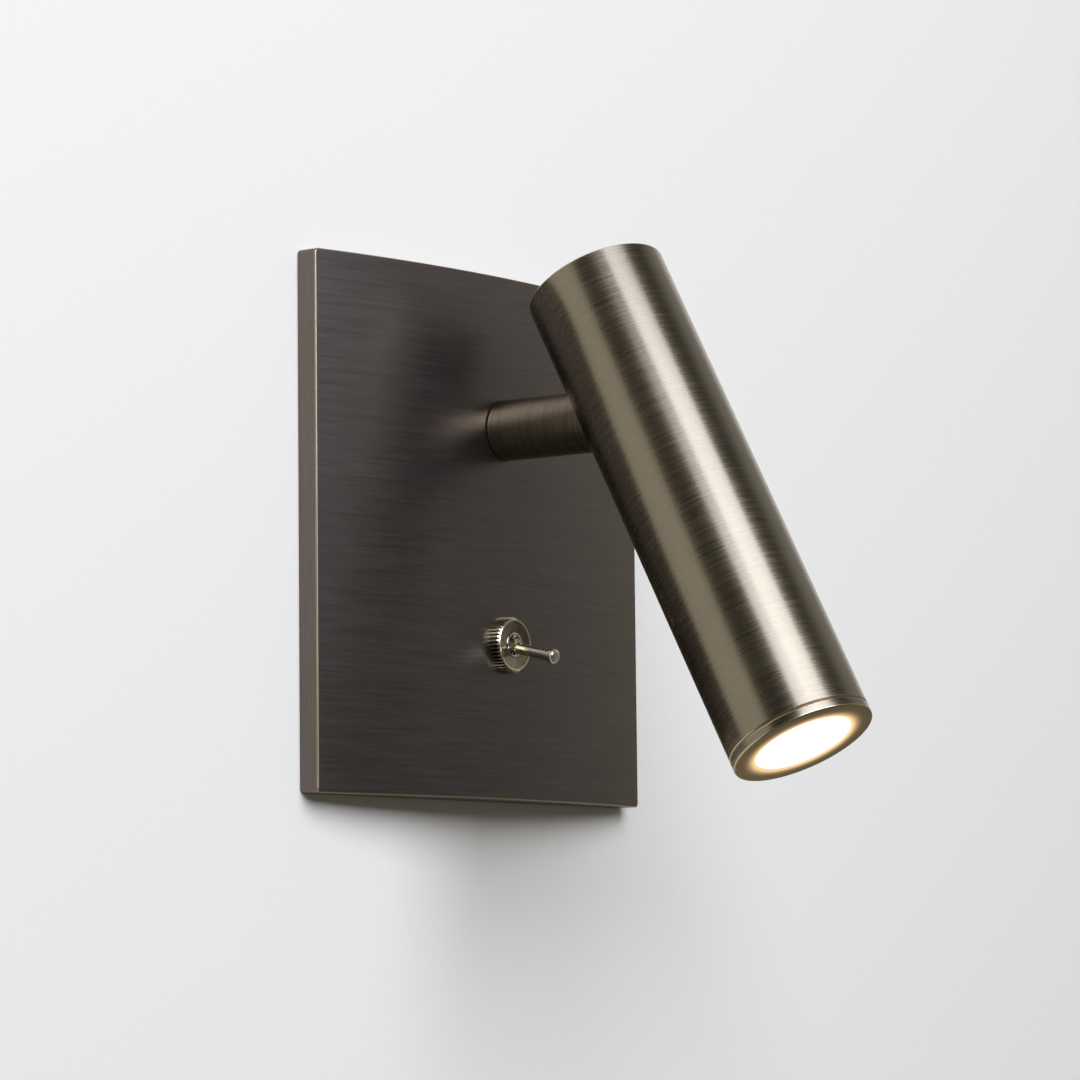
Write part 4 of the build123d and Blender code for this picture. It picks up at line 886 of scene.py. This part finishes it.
def lens():
    """A disc in the bezel's opening, with a flange behind it."""
    face = HEAD_BOTTOM + LENS_INSET
    outline = [(0, face), (LENS_RADIUS, face), (LENS_RADIUS, FLANGE_FRONT),
               (FLANGE_RADIUS, FLANGE_FRONT), (FLANGE_RADIUS, FLANGE_BACK), (0, FLANGE_BACK)]
    return shade(turned("lens_disc", eased(outline, 0.25), LENS_FINISH, HEAD_PLACE, 144))


# Toggle

def ring_nut():
    """One tooth's sector, repeated round the bore by its tree."""
    shape = bmesh.new()
    bore, bevel, front = BUSHING_RADIUS + FIT, NUT_RADIUS - NUT_BEVEL, -NUT_FRONT
    columns = []
    for quarter in range(5):
        angle = 2 * pi * quarter / (4 * NUT_TEETH)
        outer = NUT_RADIUS if quarter % 4 < 2 else NUT_ROOT
        profile = [(bore, -FRONT), (bore, front - DISH_DEPTH), (DISH_RADIUS, front - RIM_STEP),
                   (RIM_RADIUS, front), (bevel, front), (outer, front - outer + bevel),
                   (outer, -FRONT)]
        columns.append([shape.verts.new((r * cos(angle), r * sin(angle), h)) for r, h in profile])
    for first, second in zip(columns, columns[1:]):
        bridge(shape, first, second)
    nut = piece_of("knurled_ring", shape, NUT_FINISH)
    run_tree(nut, REPEAT_ROUND, Count=NUT_TEETH, Weld=0.001 * MM, Finish=NUT_FINISH)
    nut.data.transform(SWITCH_PLACE @ Matrix.Rotation(pi / 2, 4, "X"))
    return shade(nut, 28.0)


def bushing():
    """A sleeve with a flared mouth."""
    outline = [(BUSHING_BORE, BUSHING_BACK), (BUSHING_RADIUS, BUSHING_BACK),
               (BUSHING_RADIUS, BUSHING_FRONT), (MOUTH_RADIUS, BUSHING_FRONT),
               (BUSHING_BORE, MOUTH_BACK)]
    return shade(turned("threaded_bushing", eased(outline, 0.33, 5), NICKEL_FINISH,
                        SWITCH_PLACE @ ALONG_Y, 96))


def lever():
    """Tail, ball, tapered shank and rounded tip in one turned outline."""
    tail_meets, shank_leaves = atan2(1.73, 0.9), atan2(-1.60, 1.12)
    middle = TIP_RADIUS - TIP_ROUNDING
    upper, lower = (middle, TIP_START - TIP_ROUNDING), (middle, TIP_END + TIP_ROUNDING)
    waist = (1.30, -5.5)
    outline = ([(0, LEVER_TAIL), (0.7, LEVER_TAIL), (0.9, LEVER_TAIL - 0.2)]
               + arc((0, 0), LEVER_BALL, tail_meets, shank_leaves, 12)
               + [waist]
               + arc(upper, TIP_ROUNDING, pi / 2 - asin(0.45), 0, 6)
               + arc(lower, TIP_ROUNDING, 0, -pi / 2, 6)[1:]
               + [(0, TIP_END)])
    stem = turned("lever_stem", outline, LEVER_FINISH, LEVER_PLACE @ ALONG_Y, 72)
    return shade(stem, 50.0)


for make, body, slot, nodes in (
        (cover, "wall_plate", "plate_bronze", ("cover_plate",)),
        (arm, "arm", "arm_bronze", ("arm_tube",)),
        (head, "head", "head_bronze", ("head_tube",)),
        (bezel, "head", "head_bronze", ("bezel_ring",)),
        (lens, "head", "lens_opal", ("diffuser_lens",)),
        (ring_nut, "wall_plate", "antique_brass", ("toggle_ring_nut",)),
        (bushing, "wall_plate", "bright_nickel", ("toggle_bushing",)),
        (lever, "toggle", "bright_nickel", ("toggle_lever",))):
    made = make()
    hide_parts(*nodes)
    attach(made, body)


# Wall, lights and camera

LIGHT_DISTANCE = 2.2


def wall_finish():
    """Matt pale paint in front. Seen from behind, the wall isn't there, so that the back shows."""
    finish = Finish("wall_paint")
    roller = finish.noise(finish.place, (500.0, 500.0, 500.0), 3.0)
    colour = finish.blend(roller, paint(0.980, 0.908, 0.730), paint(1.0, 0.928, 0.748))
    matt = finish.node("ShaderNodeBsdfDiffuse", None, {"Color": colour})
    behind = finish.node("ShaderNodeNewGeometry", None, output="Backfacing")
    clear = finish.node("ShaderNodeBsdfTransparent")
    surface = finish.node("ShaderNodeMixShader", None, (behind, matt, clear))
    finish.node("ShaderNodeOutputMaterial", None, {"Surface": surface})
    return finish.material


def wall():
    """The wall, cut away behind the plate, where the house's box is."""
    left, reach, opening, face = -0.36, 3.0, 0.0638, 0.0002
    corners = [(left, -reach), (reach, -reach), (reach, reach), (left, reach)]
    corners += [(side * opening, up * opening)
                for side, up in ((-1, -1), (1, -1), (1, 1), (-1, 1))]
    mesh = bpy.data.meshes.new("wall")
    mesh.from_pydata([(x, face, z) for x, z in corners], [],
                     [(k, (k + 1) % 4, (k + 1) % 4 + 4, k + 4) for k in range(4)])
    mesh.materials.append(wall_finish())
    put("wall", mesh)


def softbox(name, azimuth, elevation, width, height, level):
    """An area light that faces the lamp. Azimuth 0 is straight out from the wall, and 90 is
    along +X."""
    lamp = bpy.data.lights.new(name, "AREA")
    lamp.shape = "RECTANGLE"
    lamp.size = width
    lamp.size_y = height
    lamp.energy = level * pi * width * height
    lamp.color = (0.90, 0.985, 1.27)
    light = put(name, lamp)
    across, up = radians(azimuth), radians(elevation)
    way = Vector((sin(across) * cos(up), -cos(across) * cos(up), sin(up)))
    light.location = way * LIGHT_DISTANCE
    light.rotation_euler = way.to_track_quat("Z", "Y").to_euler()
    light.visible_camera = False


def surroundings():
    """A dim studio in front of the wall, with a window at its right and a pale patch ahead. It is
    pale behind the wall, and wherever a camera or a clear material looks."""
    world = bpy.data.worlds.new("studio")
    bpy.context.scene.world = world
    world.use_nodes = True
    graph = Graph(world.node_tree)
    path = graph.node("ShaderNodeLightPath").socket.node
    camera_ray = Wire(graph, path.outputs["Is Camera Ray"])
    through = Wire(graph, path.outputs["Is Transmission Ray"])
    x, y, z = graph.parts(graph.node("ShaderNodeTexCoord", None, output="Generated"))
    pale = camera_ray.larger(through).larger(graph.ramp(y, 0.3, 0.6))
    window = graph.ramp(x, 0.44, 0.94) * graph.ramp(z, -0.1, 0.3, 0.3, 1.3)
    patch = graph.ramp(x * 0.412 - y * 0.845 + z * 0.342, 0.94, 1.0)
    room = graph.blend(graph.ramp(z, -0.4, -0.1), paint(0.098, 0.095, 0.093),
                       paint(0.068, 0.065, 0.063))
    room = graph.blend(window, room, paint(0.41, 0.42, 0.43))
    room = graph.blend(patch, room, paint(0.36, 0.35, 0.345))
    colour = graph.blend(pale, room, paint(0.86, 0.86, 0.86))
    backdrop = graph.node("ShaderNodeBackground", None, {"Color": colour, "Strength": 1.0})
    graph.node("ShaderNodeOutputWorld", None, {"Surface": backdrop})


def camera():
    """At the photograph's viewpoint: a long lens, left of the lamp and a little below it."""
    yaw, pitch, roll = radians(-53.369), radians(-5.851), radians(-0.603)
    back = Vector((sin(yaw) * cos(pitch), -cos(yaw) * cos(pitch), sin(pitch)))
    level = (-back).cross(Vector((0, 0, 1))).normalized()
    upright = level.cross(-back)
    right = cos(roll) * level + sin(roll) * upright
    up = -sin(roll) * level + cos(roll) * upright
    lens = bpy.data.cameras.new("viewpoint")
    lens.sensor_width = 36.0
    lens.lens = 147.49
    lens.clip_start = 0.05
    view = put("viewpoint", lens)
    stand = Matrix.Translation((-0.870102, -0.669904, -0.112615))
    view.matrix_world = stand @ Matrix((right, up, back)).transposed().to_4x4()
    bpy.context.scene.camera = view


wall()
softbox("key", -22.5, 29.0, 2.22, 1.36, 5.5)
softbox("top_strip", -16.0, 50.5, 1.20, 0.32, 5.6)
surroundings()
camera()
bpy.context.scene.view_settings.view_transform = "Standard"
